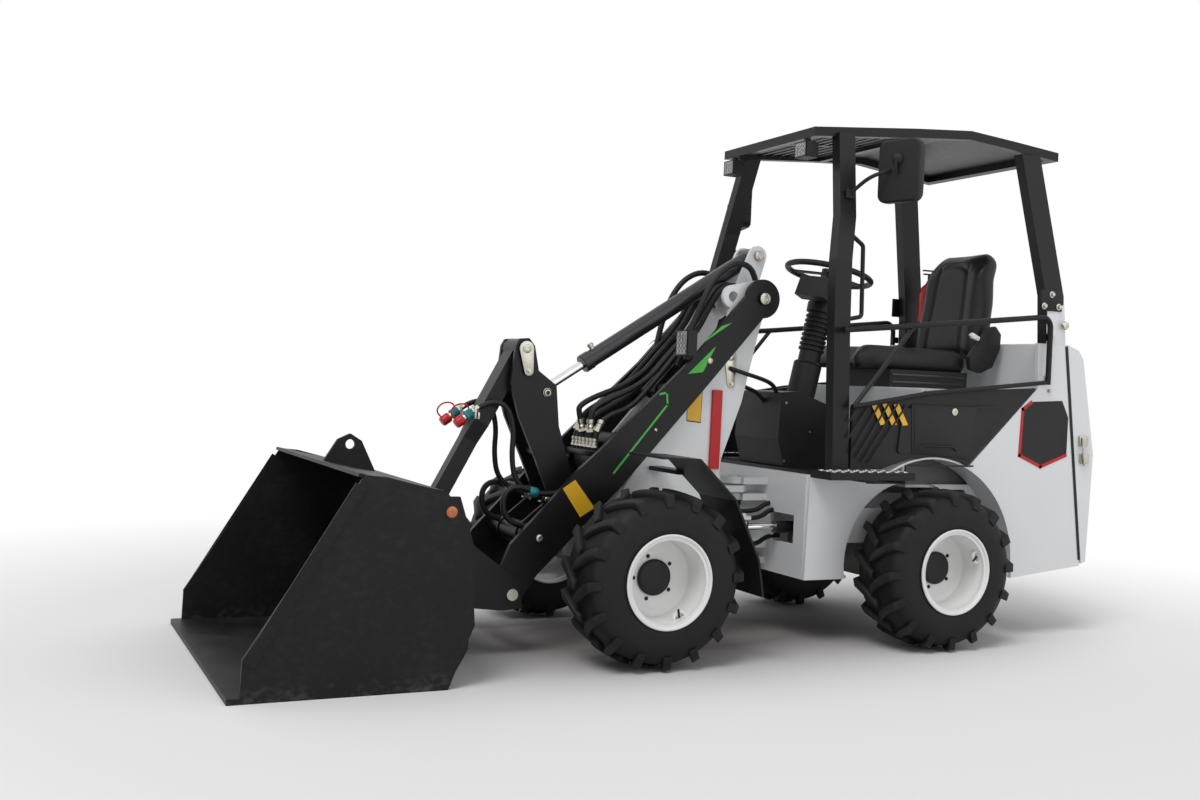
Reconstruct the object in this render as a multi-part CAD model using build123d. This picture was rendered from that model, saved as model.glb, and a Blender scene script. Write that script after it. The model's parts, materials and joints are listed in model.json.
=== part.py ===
# Compact articulated wheel loader with an open canopy and a front bucket.
# Millimetres. +Z is up, the front (bucket) faces -Y and +X is the machine's own left.
# Places are given from the ground point below the middle of the front axle;
# save() then moves every piece so that the origin is at the middle of the footprint.
from build123d import *
import os
from math import atan2, cos, degrees, hypot, radians, sin

# Running gear
WHEELBASE = 1320
PIVOT_Y = WHEELBASE / 2
TYRE_R = 331
TYRE_W = 267
WHEEL_X = 529
RIM_W = 280
RIM_FLANGE_R = 175
RIM_SEAT_R = 152
RIM_WALL = 8
RIM_FLANGE_T = 10
DISC_T = 10
DISC_OFFSET = 4
HUB_CAP_R = 67
HUB_CAP_L = 18
HUB_R = 62
HUB_L = 56
SPINDLE_R = 25
AXLE_TUBE_R = 48
DIFF_R = 105
AXLE_PAD_W = 70

# Fits and clearances
FIT = 0.3
PIN_CLEAR = 0.05
PIN_TAIL = 10
SIDE_PLAY = 4

# Front frame and lift tower
TOWER_HALF = 185
TOWER_T = 18
BOOM_PIVOT = (627, 1410)
BOOM_PIN_R = 25
EAR_HALF = 48
EAR_T = 16
TILT_EAR = (695, 1603)
LIFT_EAR = (395, 400)
LIFT_PIN_R = 20
LIFTING_EYE = (508, 1413)
LIFTING_EYE_R = 22
FRONT_LOW = 300
FRONT_SEAT = 440
REAR_LOW = 270
REAR_SEAT = 415
TRAY_Z = 660
LUG_T = 28
LUG_HALF = 85
UPPER_LUG_Z = 600
LOWER_LUG_Z = 330
HITCH_PIN_R = 25
HITCH_BOSS_R = 61
FORK_GAP = 6
TILT_PIN_R = 20
LIFT_EAR_IN = 33
STEER_LUG_T = 14
FENDER_T = 8
FENDER_IN = 402
FENDER_OUT = 668

# Boom, lever, link and coupler
BOOM_T = 20
BOOM_HALF = 225
COUPLER_PIN = (-444, 234)
COUPLER_PIN_R = 22
LEVER_PIN = (-170, 575)
LEVER_TOP = (-359, 1158)
LEVER_CYL = (-261, 990)
LEVER_HALF = 84
LEVER_T = 16
LEVER_PIN_R = 20
LINK_LOW = (-680, 555)
LINK_W = 56
LINK_D = 62
LINK_WALL = 8
LINK_SLOT_HALF = 40
LINK_SLOT_END = 330
LINK_PIN_R = 18
BOOM_LIFT_EYE = (385, 1144)
BOOM_LIFT_TUBE = (270, 1018)
BOOM_NOSE_TUBE = (-330, 440)
CHEEK_T = 14
COUPLER_GAP = 8
COUPLER_T = 18
COUPLER_EAR_IN = 36
COUPLER_EAR_T = 14

# Cylinders
TILT_TUBE_R = 35
TILT_ROD_R = 17.5
LIFT_TUBE_R = 42
LIFT_ROD_R = 22.5
STEER_TUBE_R = 26
STEER_ROD_R = 14
STEER_PIN_R = 12
STEER_EYE_R = 24
STEER_STROKE = 117
TILT_STROKE_IN = 188
TILT_STROKE_OUT = 361
TILT_LIFT_SLIDE = 88
PISTON_L = 40
LIFT_STROKE_OUT = 412
TILT_EYE_R = 26
LIFT_EYE_R = 34
LIFT_ROD_SHOWN = 48
ROD_GRIP = 90
BORE_SPARE = 5
STEER_Z = 465
STEER_EYE_HALF = 24
STEER_CLEVIS_HALF = 32
TILT_ROD_EYE_HALF = 33
STEER_BASE = (205, WHEELBASE - 190)
STEER_EYE = (170, PIVOT_Y - 50)

# Bucket
BUCKET_HALF = 663
BUCKET_T = 12
EDGE_T = 20
STRIP_W = 40
STRIP_T = 6
BUCKET_EYE = (-1013, 772)
BUCKET_EYE_R = 18
BUCKET_EYE_HALF = 8
BUCKET_FRONT = -1540

# Rear body
BODY_HALF = 500
PANEL_T = 20
BATTERY_T = 14
DECK_Z = 1066
HOOD_Z = 1283
HOOD_Y = WHEELBASE + 585
REAR_FRONT_Y = PIVOT_Y + 120
CHASSIS_HALF = 380
CHASSIS_T = 16
RAIL_X = 320
ARCH_R = 455
FLOOR_Z = 700
FLOOR_T = 14
DECK_T = 12
LINER_T = 8
COVER_OUT = 4
HATCH_OUT = 12
RISER_Y = WHEELBASE - 58
STEP_T = 30
STEP_W = 134
STEP_FOOT_T = 16

# Canopy
PILLAR_W = 50
PILLAR_D = 78
ROOF_FRONT_HALF = 350
ROOF_REAR_HALF = 430
ROOF_FRONT_Y = PIVOT_Y + 97
ROOF_REAR_Y = WHEELBASE + 685
ROOF_SPLIT_Y = WHEELBASE - 30
ROOF_LOW = 2000
ROOF_HIGH = 2300
BEAM_D = 38
BEAM_W = 40
GATE_X = BODY_HALF + 30
GATE_TUBE_R = 12
GATE_HINGE_Y = HOOD_Y
DOOR_AXIS = (-BODY_HALF - 12, WHEELBASE + 830)
DOOR_HINGES = (560, 1060)
HINGE_R = 9
HINGE_H = 50
EXTINGUISHER = (170 - BODY_HALF, WHEELBASE + 640)

# Steering wheel
STEER_WHEEL_R = 185
STEER_RIM_R = 13
STEER_HUB = (0, PIVOT_Y + 450, 1560)
COLUMN_FOOT = (0, PIVOT_Y + 307, 930)
WHEEL_HUB_T = 36

# The footprint runs from the cutting edge to the back of the rear door.
DOOR_BACK = WHEELBASE + 906
ORIGIN_Y = (BUCKET_FRONT + DOOR_BACK) / 2


def across(face, x0, x1):
    """A side-view face pulled along X from x0 to x1."""
    return extrude(Plane.YZ.offset(x0) * face, x1 - x0, dir=(1, 0, 0))


def upward(face, z0, z1):
    """A plan-view face pulled along Z from z0 to z1."""
    return extrude(Plane.XY.offset(z0) * face, z1 - z0, dir=(0, 0, 1))


def side_plate(points, x0, x1, radius=0):
    """A plate outlined in the side view (y, z), from x0 to x1."""
    face = Polygon(*points, align=None)
    if radius:
        face = fillet(face.vertices(), radius)
    return across(face, x0, x1)


def from_axle(points):
    """Side-view places (y, z) given from the rear axle's y."""
    return [(WHEELBASE + y, z) for y, z in points]


def from_pivot(points):
    """Side-view places (y, z) given from the centre pivot's y."""
    return [(PIVOT_Y + y, z) for y, z in points]


def both_sides(shape):
    return shape + mirror(shape, about=Plane.YZ)


def cross_pin(place, radius, x0, x1):
    """A round bar along X at a side-view place (y, z)."""
    return across(Pos(*place) * Circle(radius), x0, x1)


def post(place, radius, z0, z1):
    """A round bar along Z at a plan place (x, y)."""
    return upward(Pos(*place) * Circle(radius), z0, z1)


def block(x, y, z):
    """A box from three (low, high) pairs."""
    size = [b - a for a, b in (x, y, z)]
    return Pos((x[0] + x[1]) / 2, (y[0] + y[1]) / 2, (z[0] + z[1]) / 2) * Box(*size)


def folded(points, thick, x0, x1):
    """A bent sheet, its middle line given in the side view."""
    face = Sketch()
    for a, b in zip(points, points[1:]):
        length = hypot(b[0] - a[0], b[1] - a[1])
        turn = degrees(atan2(b[1] - a[1], b[0] - a[0]))
        middle = Pos((a[0] + b[0]) / 2, (a[1] + b[1]) / 2)
        face += middle * Rot(0, 0, turn) * Rectangle(length, thick)
    for joint in points[1:-1]:
        face += Pos(*joint) * Circle(thick / 2)
    return across(face, x0, x1)


def pipe(points, radii, radius):
    """A round bar bent along straight runs and tangent arcs."""
    path = FilletPolyline(*points, radius=radii) if radii else Line(*points)
    start = Plane(path @ 0, z_dir=path % 0)
    return sweep(start * Circle(radius), path)


def boss_plate(ends, x0, x1):
    """A plate around round bosses (y, z, r) joined by their tangent hull."""
    face = make_hull([e for y, z, r in ends for e in (Pos(y, z) * Circle(r)).edges()])
    return across(face, x0, x1)


def along(a, b):
    """Length and plane of a side-view run from a to b, its normal along the run."""
    run = Vector(0, b[0] - a[0], b[1] - a[1])
    return run.length, Plane(origin=(0, *a), z_dir=run.normalized(), x_dir=(1, 0, 0))


def rod_eye(place, radius, half):
    """A round eye centred on the machine's middle plane."""
    return cross_pin(place, radius, -half, half)


# Wheels
def tyre():
    half = TYRE_W / 2
    bead = RIM_W / 2 - RIM_FLANGE_T - FIT
    bore = RIM_SEAT_R + FIT
    shoulder = TYRE_R - 22
    right = [(bead, bore), (bead, RIM_FLANGE_R - 4), (half, 232), (half - 4, 285), (half - 20, shoulder),
             (half - 62, TYRE_R - 3), (0, TYRE_R)]
    left = [(-x, r) for x, r in reversed(right[:-1])]
    return revolve(Polygon(*right, *left, align=None), Axis.X)


def rim():
    half = RIM_W / 2
    barrel = revolve(Pos(0, RIM_SEAT_R - RIM_WALL / 2) * Rectangle(RIM_W, RIM_WALL), Axis.X)
    flange_h = RIM_FLANGE_R - RIM_SEAT_R + RIM_WALL
    flange = Pos(half - RIM_FLANGE_T / 2, RIM_FLANGE_R - flange_h / 2) * Rectangle(RIM_FLANGE_T, flange_h)
    flange += mirror(flange, about=Plane.YZ)
    wheel = barrel + revolve(flange, Axis.X)
    disc_in = DISC_OFFSET - DISC_T
    wheel += cross_pin((0, 0), RIM_SEAT_R - RIM_WALL / 2, disc_in, DISC_OFFSET)
    wheel += cross_pin((0, 0), HUB_R, disc_in - HUB_L, disc_in)
    wheel -= cross_pin((0, 0), SPINDLE_R, disc_in - HUB_L, disc_in)
    cap = cross_pin((0, 0), HUB_CAP_R, DISC_OFFSET + FIT, DISC_OFFSET + HUB_CAP_L)
    return Compound(children=[wheel, cap])


def wheel_places():
    """Name, side and axle place of each wheel."""
    for end, y in (("front", 0), ("rear", WHEELBASE)):
        for side, sign in (("left", 1), ("right", -1)):
            yield f"{end}_{side}", sign, y


def axle(y, pad_x, pad_top):
    """Tube, drive housing, spindles and the pads that bolt to the frame."""
    end = WHEEL_X + DISC_OFFSET - DISC_T - HUB_L - FIT
    housing = revolve(Plane.XY * Polygon((-150, 0), (-120, 70), (-50, DIFF_R), (50, DIFF_R), (120, 70),
                                         (150, 0), align=None), Axis.X)
    body = cross_pin((0, 0), AXLE_TUBE_R, -end, end) + housing
    body += cross_pin((0, 0), SPINDLE_R - PIN_CLEAR, -end - HUB_L + 4, end + HUB_L - 4)
    pad = block((pad_x - AXLE_PAD_W / 2, pad_x + AXLE_PAD_W / 2), (-60, 60), (0, pad_top - FIT - TYRE_R))
    return Pos(0, y, TYRE_R) * (body + both_sides(pad))


# Front frame
def front_frame():
    """Tower plates, cross plates, hitch lugs and the ears of both lift cylinders."""
    inner = TOWER_HALF - TOWER_T
    plate = side_plate([(672, 1400), (640, 1290), (568, 983), (481, 745), (470, 620), (470, FRONT_LOW),
                        (130, FRONT_LOW), (130, FRONT_SEAT), (-60, FRONT_SEAT), (-60, 480), (90, 700),
                        (125, 790), (395, 1100), (480, 1290), (500, 1400)], inner, TOWER_HALF)
    plate += boss_plate([(*BOOM_PIVOT, 78), (*LIFTING_EYE, 48)], inner, TOWER_HALF)
    plate -= cross_pin(LIFTING_EYE, LIFTING_EYE_R, 0, TOWER_HALF)
    ear_in, ear_out = EAR_HALF, EAR_HALF + EAR_T
    ear = boss_plate([(*TILT_EAR, 42), (640, 1450, 50)], ear_in, ear_out)
    ear += boss_plate([(*BOOM_PIVOT, 60), (640, 1450, 50)], ear_in, ear_out)
    ear -= cross_pin(TILT_EAR, TILT_PIN_R + PIN_CLEAR, 0, TOWER_HALF)
    web = block((ear_in, inner), (600, 660), (1452, 1468))
    side = plate + ear + web - cross_pin(BOOM_PIVOT, BOOM_PIN_R + PIN_CLEAR, 0, TOWER_HALF)
    frame = both_sides(side)
    frame += block((-inner, inner), (454, 470), (FRONT_LOW, 745))
    frame += block((-inner, inner), (130, 454), (FRONT_LOW, FRONT_LOW + 12))
    frame += block((-270, 270), (-60, 130), (FRONT_SEAT, FRONT_SEAT + 16))
    for z in (UPPER_LUG_Z, LOWER_LUG_Z):
        lug = block((-LUG_HALF, LUG_HALF), (460, PIVOT_Y), (z, z + LUG_T))
        lug += post((0, PIVOT_Y), HITCH_BOSS_R, z, z + LUG_T)
        frame += lug - post((0, PIVOT_Y), HITCH_PIN_R + PIN_CLEAR, z, z + LUG_T)
    lift_ear = boss_plate([(*LIFT_EAR, 34), (436, LIFT_EAR[1], 34)], LIFT_EAR_IN, LIFT_EAR_IN + EAR_T)
    lift_ear -= cross_pin(LIFT_EAR, LIFT_PIN_R + PIN_CLEAR, 0, 100)
    frame += both_sides(lift_ear)
    steer_x, steer_y = STEER_EYE
    for side in (-1, 1):
        inner_z = STEER_Z + side * STEER_CLEVIS_HALF
        outer_z = inner_z + side * STEER_LUG_T
        frame += block((TOWER_HALF - 60, steer_x + STEER_EYE_R), (460, steer_y + STEER_EYE_R),
                       sorted((inner_z, outer_z)))
        frame += post(STEER_EYE, STEER_PIN_R, *sorted((outer_z, outer_z + side * PIN_TAIL)))
    return frame


def front_fenders():
    """Bent mudguards over the back of the front wheels, on a bracket from the frame."""
    line = [(-54, 779), (103, 774), (260, 628), (371, 404), (396, 265)]
    arch = folded(line, FENDER_T, FENDER_IN, FENDER_OUT)
    bracket = block((TOWER_HALF, FENDER_IN + 18), (150, 210), (700, 716))
    bracket += block((FENDER_IN + 2, FENDER_IN + 18), (150, 210), (700, 724))
    return both_sides(arch + bracket)


# Boom and its linkage
def boom():
    """Two bent plates joined by cross tubes, with the lever's and the cylinder's seats."""
    outline = [(568, 1441), (290, 1134), (-78, 786), (-193, 686), (-300, 570), (-444, 420), (-500, 290),
               (-490, 190), (-420, 175), (-334, 300), (18, 645), (375, 1040), (665, 1369)]
    plate = side_plate(outline, BOOM_HALF - BOOM_T, BOOM_HALF, 18)
    plate += cross_pin(BOOM_PIVOT, 80, BOOM_HALF - BOOM_T, BOOM_HALF)
    plate -= cross_pin(COUPLER_PIN, COUPLER_PIN_R + PIN_CLEAR, 0, BOOM_HALF)
    arm = both_sides(plate)
    for place, radius in ((BOOM_NOSE_TUBE, 45), ((60, 800), 38), (BOOM_LIFT_TUBE, 30)):
        arm += cross_pin(place, radius, -BOOM_HALF + BOOM_T, BOOM_HALF - BOOM_T)
    arm += cross_pin(BOOM_PIVOT, BOOM_PIN_R, -BOOM_HALF - 12, BOOM_HALF + 12)
    cheek_in = LEVER_HALF + SIDE_PLAY
    cheek = boss_plate([(*LEVER_PIN, 46), (*BOOM_NOSE_TUBE, 50)], cheek_in, cheek_in + CHEEK_T)
    cheek -= cross_pin(LEVER_PIN, LEVER_PIN_R + PIN_CLEAR, 0, 200)
    lift_ear = boss_plate([(*BOOM_LIFT_EYE, 34), (*BOOM_LIFT_TUBE, 36)], LIFT_EAR_IN, LIFT_EAR_IN + EAR_T)
    lift_ear += cross_pin(BOOM_LIFT_EYE, LIFT_PIN_R, LIFT_EAR_IN + EAR_T, LIFT_EAR_IN + EAR_T + PIN_TAIL)
    return arm + both_sides(cheek + lift_ear)


def bell_crank():
    """Two lever plates that carry the tilt cylinder's rod and the link."""
    inner = LEVER_HALF - LEVER_T
    plate = side_plate([(-400, 1170), (-385, 1196), (-345, 1200), (-320, 1170), (-300, 1075), (-222, 1020),
                        (-205, 860), (-130, 640), (-120, 560), (-150, 530), (-200, 530), (-225, 560),
                        (-300, 730), (-375, 890), (-415, 1020)], inner, LEVER_HALF, 10)
    plate -= cross_pin(LEVER_PIN, LEVER_PIN_R, 0, 200)
    plate -= cross_pin(LEVER_TOP, LINK_PIN_R, 0, 200)
    plate += cross_pin(LEVER_CYL, 17, LEVER_HALF, LEVER_HALF + 8)
    plate += cross_pin(LEVER_CYL, TILT_EYE_R, LINK_SLOT_HALF, inner)
    crank = both_sides(plate)
    crank += cross_pin((-268, 760), 20, -inner, inner)
    return crank


def tilt_link():
    """Bar with a boss at each end, its head a channel that the tilt tube can enter from behind."""
    half = LEVER_HALF - LEVER_T - SIDE_PLAY
    run = Vector(0, LINK_LOW[0] - LEVER_TOP[0], LINK_LOW[1] - LEVER_TOP[1])
    back = Plane(origin=(0, *LEVER_TOP), x_dir=(1, 0, 0), z_dir=(0, -run.Z, run.Y))
    head, shank = LINK_SLOT_HALF + LINK_WALL, LINK_W / 2
    right = [(head, 0), (head, LINK_SLOT_END), (shank, LINK_SLOT_END + 80), (shank, run.length - 20)]
    left = [(-x, y) for x, y in reversed(right)]
    link = extrude(back.offset(-LINK_D / 2) * Polygon(*right, *left, align=None), LINK_D, dir=back.z_dir)
    link += rod_eye(LEVER_TOP, 40, half) + rod_eye(LINK_LOW, 36, shank)
    room = LINK_PIN_R + SIDE_PLAY
    slot_x = (-LINK_SLOT_HALF, LINK_SLOT_HALF)
    slot = block(slot_x, (room, LINK_SLOT_END), (LINK_WALL - LINK_D / 2, LINK_D))
    slot += block(slot_x, (-LINK_D, room), (room, LINK_D))
    return link - back * slot - cross_pin(LEVER_TOP, LINK_PIN_R, -half, half)


def quick_coupler():
    """Side plates outside the boom's nose, cross tubes and the ears for the link."""
    x0 = BOOM_HALF + COUPLER_GAP
    plate = side_plate([(-400, 180), (-480, 175), (-752, 205), (-749, 300), (-782, 555), (-740, 600),
                        (-660, 600), (-600, 420), (-410, 280)], x0, x0 + COUPLER_T)
    plate -= cross_pin(COUPLER_PIN, COUPLER_PIN_R, 0, 400)
    body = both_sides(plate)
    body += both_sides(folded([(-741.5, 320), (-766.4, 510)], 20, COUPLER_EAR_IN, x0))
    body += cross_pin((-640, 290), 30, -x0, x0)
    ear_out = COUPLER_EAR_IN + COUPLER_EAR_T
    ear = boss_plate([(*LINK_LOW, 40), (-740, 430, 22)], COUPLER_EAR_IN, ear_out)
    ear += cross_pin(LINK_LOW, LINK_PIN_R, ear_out, ear_out + PIN_TAIL)
    return body + both_sides(ear)


def bucket():
    """Bent shell between two side plates, with a cutting edge, corner strips and a lifting ear."""
    inner = BUCKET_HALF - BUCKET_T
    line = [(-1500, EDGE_T / 2), (-830, EDGE_T / 2), (-762, 130), (-756, 300), (-790, 560), (-860, 655),
            (-1150, 712)]
    shell = folded(line, BUCKET_T, -inner, inner)
    edge = block((-BUCKET_HALF, BUCKET_HALF), (BUCKET_FRONT, -1382), (0, EDGE_T))
    side = side_plate([(-1500, 0), (-1496, 137), (-1133, 712), (-1060, 706), (-852, 655), (-772, 560),
                       (-739, 213), (-825, 0)], inner, BUCKET_HALF)
    strip = folded([(-1480, 120), (-1145, 678)], STRIP_W, BUCKET_HALF, BUCKET_HALF + STRIP_T)
    body = shell + edge + both_sides(side + strip)
    ear = side_plate([(-1115, 702), (-1060, 790), (-1013, 812), (-970, 785), (-910, 662)],
                     -BUCKET_EYE_HALF, BUCKET_EYE_HALF, 8)
    ear -= cross_pin(BUCKET_EYE, BUCKET_EYE_R, -BUCKET_EYE_HALF, BUCKET_EYE_HALF)
    return body + ear


# Cylinders
def rod_start(length, eye_r, shown, stroke_out):
    """Where the rod's inner end lies at rest: it keeps ROD_GRIP in the tube when it is out."""
    return length - eye_r - shown - stroke_out - ROD_GRIP


def tube_and_rod(plane, length, tube_r, rod_r, eye_r, shown, start, room):
    """A bored tube and its rod along a plane's normal, before their eyes are added.

    shown is the rod left outside the tube at rest, start its inner end, room the bore behind it."""
    tube_end = length - eye_r - shown
    tube_start = tube_r * 0.9
    tube = extrude(plane.offset(tube_start) * Circle(tube_r), tube_end - tube_start)
    tube -= extrude(plane.offset(start - room) * Circle(rod_r + PIN_CLEAR), tube_end)
    rod = extrude(plane.offset(start) * Circle(rod_r), length - start - eye_r / 2)
    return tube, rod


def tilt_cylinder():
    """Barrel, rod, and the piston behind it that slides as the boom lifts."""
    half = EAR_HALF - SIDE_PLAY
    pin_end = EAR_HALF + EAR_T + PIN_TAIL
    length, plane = along(TILT_EAR, LEVER_CYL)
    shown = TILT_STROKE_IN + BORE_SPARE
    start = rod_start(length, TILT_EYE_R, shown, TILT_STROKE_OUT)
    room = TILT_STROKE_IN + PISTON_L + 2 * BORE_SPARE
    tube, rod = tube_and_rod(plane, length, TILT_TUBE_R, TILT_ROD_R, TILT_EYE_R, shown, start, room)
    tube += rod_eye(TILT_EAR, TILT_TUBE_R, half) + rod_eye(TILT_EAR, TILT_PIN_R, pin_end)
    back = start - room + BORE_SPARE + TILT_LIFT_SLIDE
    piston = extrude(plane.offset(back) * Circle(TILT_ROD_R), PISTON_L)
    return tube, rod + rod_eye(LEVER_CYL, TILT_EYE_R, TILT_ROD_EYE_HALF), piston


def lift_cylinder():
    half = LIFT_EAR_IN - SIDE_PLAY
    pin_end = LIFT_EAR_IN + EAR_T + PIN_TAIL
    length, plane = along(LIFT_EAR, BOOM_LIFT_EYE)
    start = rod_start(length, LIFT_EYE_R, LIFT_ROD_SHOWN, LIFT_STROKE_OUT)
    tube, rod = tube_and_rod(plane, length, LIFT_TUBE_R, LIFT_ROD_R, LIFT_EYE_R, LIFT_ROD_SHOWN, start,
                             BORE_SPARE)
    tube += rod_eye(LIFT_EAR, LIFT_TUBE_R, half) + rod_eye(LIFT_EAR, LIFT_PIN_R, pin_end)
    return tube, rod + rod_eye(BOOM_LIFT_EYE, LIFT_EYE_R, half)


def steer_cylinder():
    """Barrel on the rear frame and rod to the front frame, at one height."""
    run = Vector(STEER_EYE[0] - STEER_BASE[0], STEER_EYE[1] - STEER_BASE[1], 0)
    plane = Plane(origin=(*STEER_BASE, STEER_Z), z_dir=run.normalized(), x_dir=(0, 0, 1))
    low, high = STEER_Z - STEER_EYE_HALF, STEER_Z + STEER_EYE_HALF
    shown = STEER_STROKE + BORE_SPARE
    start = rod_start(run.length, STEER_EYE_R, shown, STEER_STROKE)
    tube, rod = tube_and_rod(plane, run.length, STEER_TUBE_R, STEER_ROD_R, STEER_EYE_R, shown, start, shown)
    tail = STEER_LUG_T + 2 * PIN_TAIL
    tube += post(STEER_BASE, STEER_TUBE_R, low, high) + post(STEER_BASE, STEER_PIN_R, low - tail, high + tail)
    return tube, rod + post(STEER_EYE, STEER_EYE_R, low, high)


# Rear frame
def rear_frame():
    """Side plates cut for the wheels, cross plates, rails, hitch forks and steering lug."""
    arch = Pos(WHEELBASE, TYRE_R) * Circle(345)
    floor = FLOOR_Z - FIT
    behind = from_axle([(-320, REAR_LOW), (-160, 640), (280, 640), (470, 280), (840, 305), (830, TRAY_Z),
                        (-250, TRAY_Z + 4), (-280, floor)])
    side = Polygon((REAR_FRONT_Y, REAR_LOW), *behind, (REAR_FRONT_Y + 10, floor), align=None)
    inner = CHASSIS_HALF - CHASSIS_T
    frame = both_sides(across(side - arch, inner, CHASSIS_HALF))
    front_back = REAR_FRONT_Y + CHASSIS_T
    window = block((120, 290), (REAR_FRONT_Y - 10, front_back + 4), (STEER_Z - 60, STEER_Z + 60))
    frame += block((-inner, inner), (REAR_FRONT_Y, front_back), (REAR_LOW, floor)) - window
    back = WHEELBASE + 800
    frame += block((-inner, inner), (front_back, WHEELBASE - 320), (REAR_LOW, REAR_LOW + 12))
    frame += block((-inner, inner), (back, back + 16), (320, TRAY_Z - 5))
    frame += block((-inner, inner), (back - 320, back), (320, 332))
    frame += block((-inner, inner), (ROOF_SPLIT_Y, back), (TRAY_Z - 12, TRAY_Z))
    rail = block((RAIL_X - 30, RAIL_X + 30), (front_back, back), (REAR_SEAT, REAR_SEAT + 145))
    frame += both_sides(rail)
    for z in (UPPER_LUG_Z, LOWER_LUG_Z):
        for low in (z - LUG_T - FORK_GAP, z + LUG_T + FORK_GAP):
            fork = block((-LUG_HALF, LUG_HALF), (PIVOT_Y, REAR_FRONT_Y + 4), (low, low + LUG_T))
            frame += fork + post((0, PIVOT_Y), HITCH_BOSS_R, low, low + LUG_T)
        frame += post((0, PIVOT_Y), HITCH_PIN_R, z - LUG_T - 12, z + 2 * LUG_T + 12)
    base_x, base_y = STEER_BASE
    eye_half = STEER_EYE_HALF + FORK_GAP
    for low in (STEER_Z - eye_half - STEER_LUG_T, STEER_Z + eye_half):
        lug = block((base_x - 30, RAIL_X), (base_y - 30, base_y + 30), (low, low + STEER_LUG_T))
        frame += lug - post(STEER_BASE, STEER_PIN_R + PIN_CLEAR, low, low + STEER_LUG_T)
    return frame


def body_sides():
    """White side panels of the rear body with the wheel arch liners."""
    arch = Pos(WHEELBASE, TYRE_R) * Circle(ARCH_R)
    top = HOOD_Z + DECK_T / 2
    face = Polygon(*from_axle([(180, 740), (559, 1095), (550, top), (715, top), (852, 330), (852, 312),
                               (440, 268), (180, 268)]), align=None) - arch
    panel = across(face, BODY_HALF - PANEL_T, BODY_HALF)
    ring = Pos(WHEELBASE, TYRE_R) * (Circle(ARCH_R) - Circle(ARCH_R - LINER_T))
    ring &= Polygon(*from_axle([(-460, 690), (-460, 900), (470, 900), (470, 300), (180, 500), (-120, 690)]),
                    align=None)
    liner = across(ring, CHASSIS_HALF, BODY_HALF)
    hinge_end = GATE_X - GATE_TUBE_R - FIT
    hinge = block((BODY_HALF, hinge_end), (GATE_HINGE_Y - 14, GATE_HINGE_Y + 14), (1122, 1150))
    sides = both_sides(panel + liner + hinge)
    for z in DOOR_HINGES:
        heights = (z + FIT, z + HINGE_H)
        sides += post(DOOR_AXIS, HINGE_R, *heights)
        sides += block((DOOR_AXIS[0], DOOR_AXIS[0] + HINGE_R), (DOOR_AXIS[1] - 110, DOOR_AXIS[1]), heights)
        sides += block((DOOR_AXIS[0], -BODY_HALF), (DOOR_AXIS[1] - 120, DOOR_AXIS[1] - 90), heights)
    return sides


def rear_deck():
    """Seat riser, deck and the upright behind the seat."""
    wide = BODY_HALF - PANEL_T - FIT
    narrow = CHASSIS_HALF - FIT
    arch_top = TYRE_R + ARCH_R + FIT
    line = [(RISER_Y, arch_top), (RISER_Y, DECK_Z), (HOOD_Y, DECK_Z), (HOOD_Y, HOOD_Z)]
    line.append((WHEELBASE + 716, HOOD_Z))
    front, behind = RISER_Y - DECK_T / 2, RISER_Y + DECK_T / 2
    riser = block((-narrow, narrow), (front, behind), (FLOOR_Z + FLOOR_T, arch_top))
    return folded(line, DECK_T, -wide, wide) + riser


def battery_covers():
    """Black side covers with a raised hatch."""
    cover = side_plate(from_axle([(-62, 1056), (548, 1093), (170, 749), (-120, 780), (-276, 735), (-428, 735),
                                  (-428, 982)]), BODY_HALF - BATTERY_T, BODY_HALF + COVER_OUT)
    arch = Pos(WHEELBASE, TYRE_R) * Circle(ARCH_R + FIT)
    cover -= across(arch, BODY_HALF - 2 * BATTERY_T, BODY_HALF + HATCH_OUT)
    hatch = side_plate(from_axle([(-200, 800), (180, 820), (340, 960), (320, 1010), (-180, 985)]),
                       BODY_HALF + COVER_OUT, BODY_HALF + HATCH_OUT, 15)
    return both_sides(cover + hatch)


def battery_block():
    """The battery pack, a plain mass on the tray."""
    return block((-350, 350), (WHEELBASE - 20, WHEELBASE + 680), (TRAY_Z + FIT, DECK_Z - 16))


def platform_floor():
    z = (FLOOR_Z, FLOOR_Z + FLOOR_T)
    narrow = CHASSIS_HALF - FIT
    wide = BODY_HALF - PANEL_T
    split = WHEELBASE - 290
    floor = block((-wide, wide), (REAR_FRONT_Y + 10, split), z)
    return floor + block((-narrow, narrow), (split, RISER_Y + DECK_T / 2), z)


def entry_steps():
    inner = BODY_HALF + 6
    step = block((inner, inner + STEP_W), (PIVOT_Y + 40, WHEELBASE - 210), (FLOOR_Z, FLOOR_Z + STEP_T))
    foot = (PIVOT_Y + 270, PIVOT_Y + 330)
    step += block((CHASSIS_HALF + 20, inner), foot, (FLOOR_Z - STEP_FOOT_T, FLOOR_Z - FIT))
    step += block((inner, inner + 34), foot, (FLOOR_Z - STEP_FOOT_T, FLOOR_Z))
    return both_sides(step)


def front_console():
    top = FLOOR_Z + FLOOR_T + FIT
    outline = from_pivot([(140, top), (105, 830), (115, 1030), (200, 1036), (420, 960), (420, top)])
    return side_plate(outline, -170, 170, 8)


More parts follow.
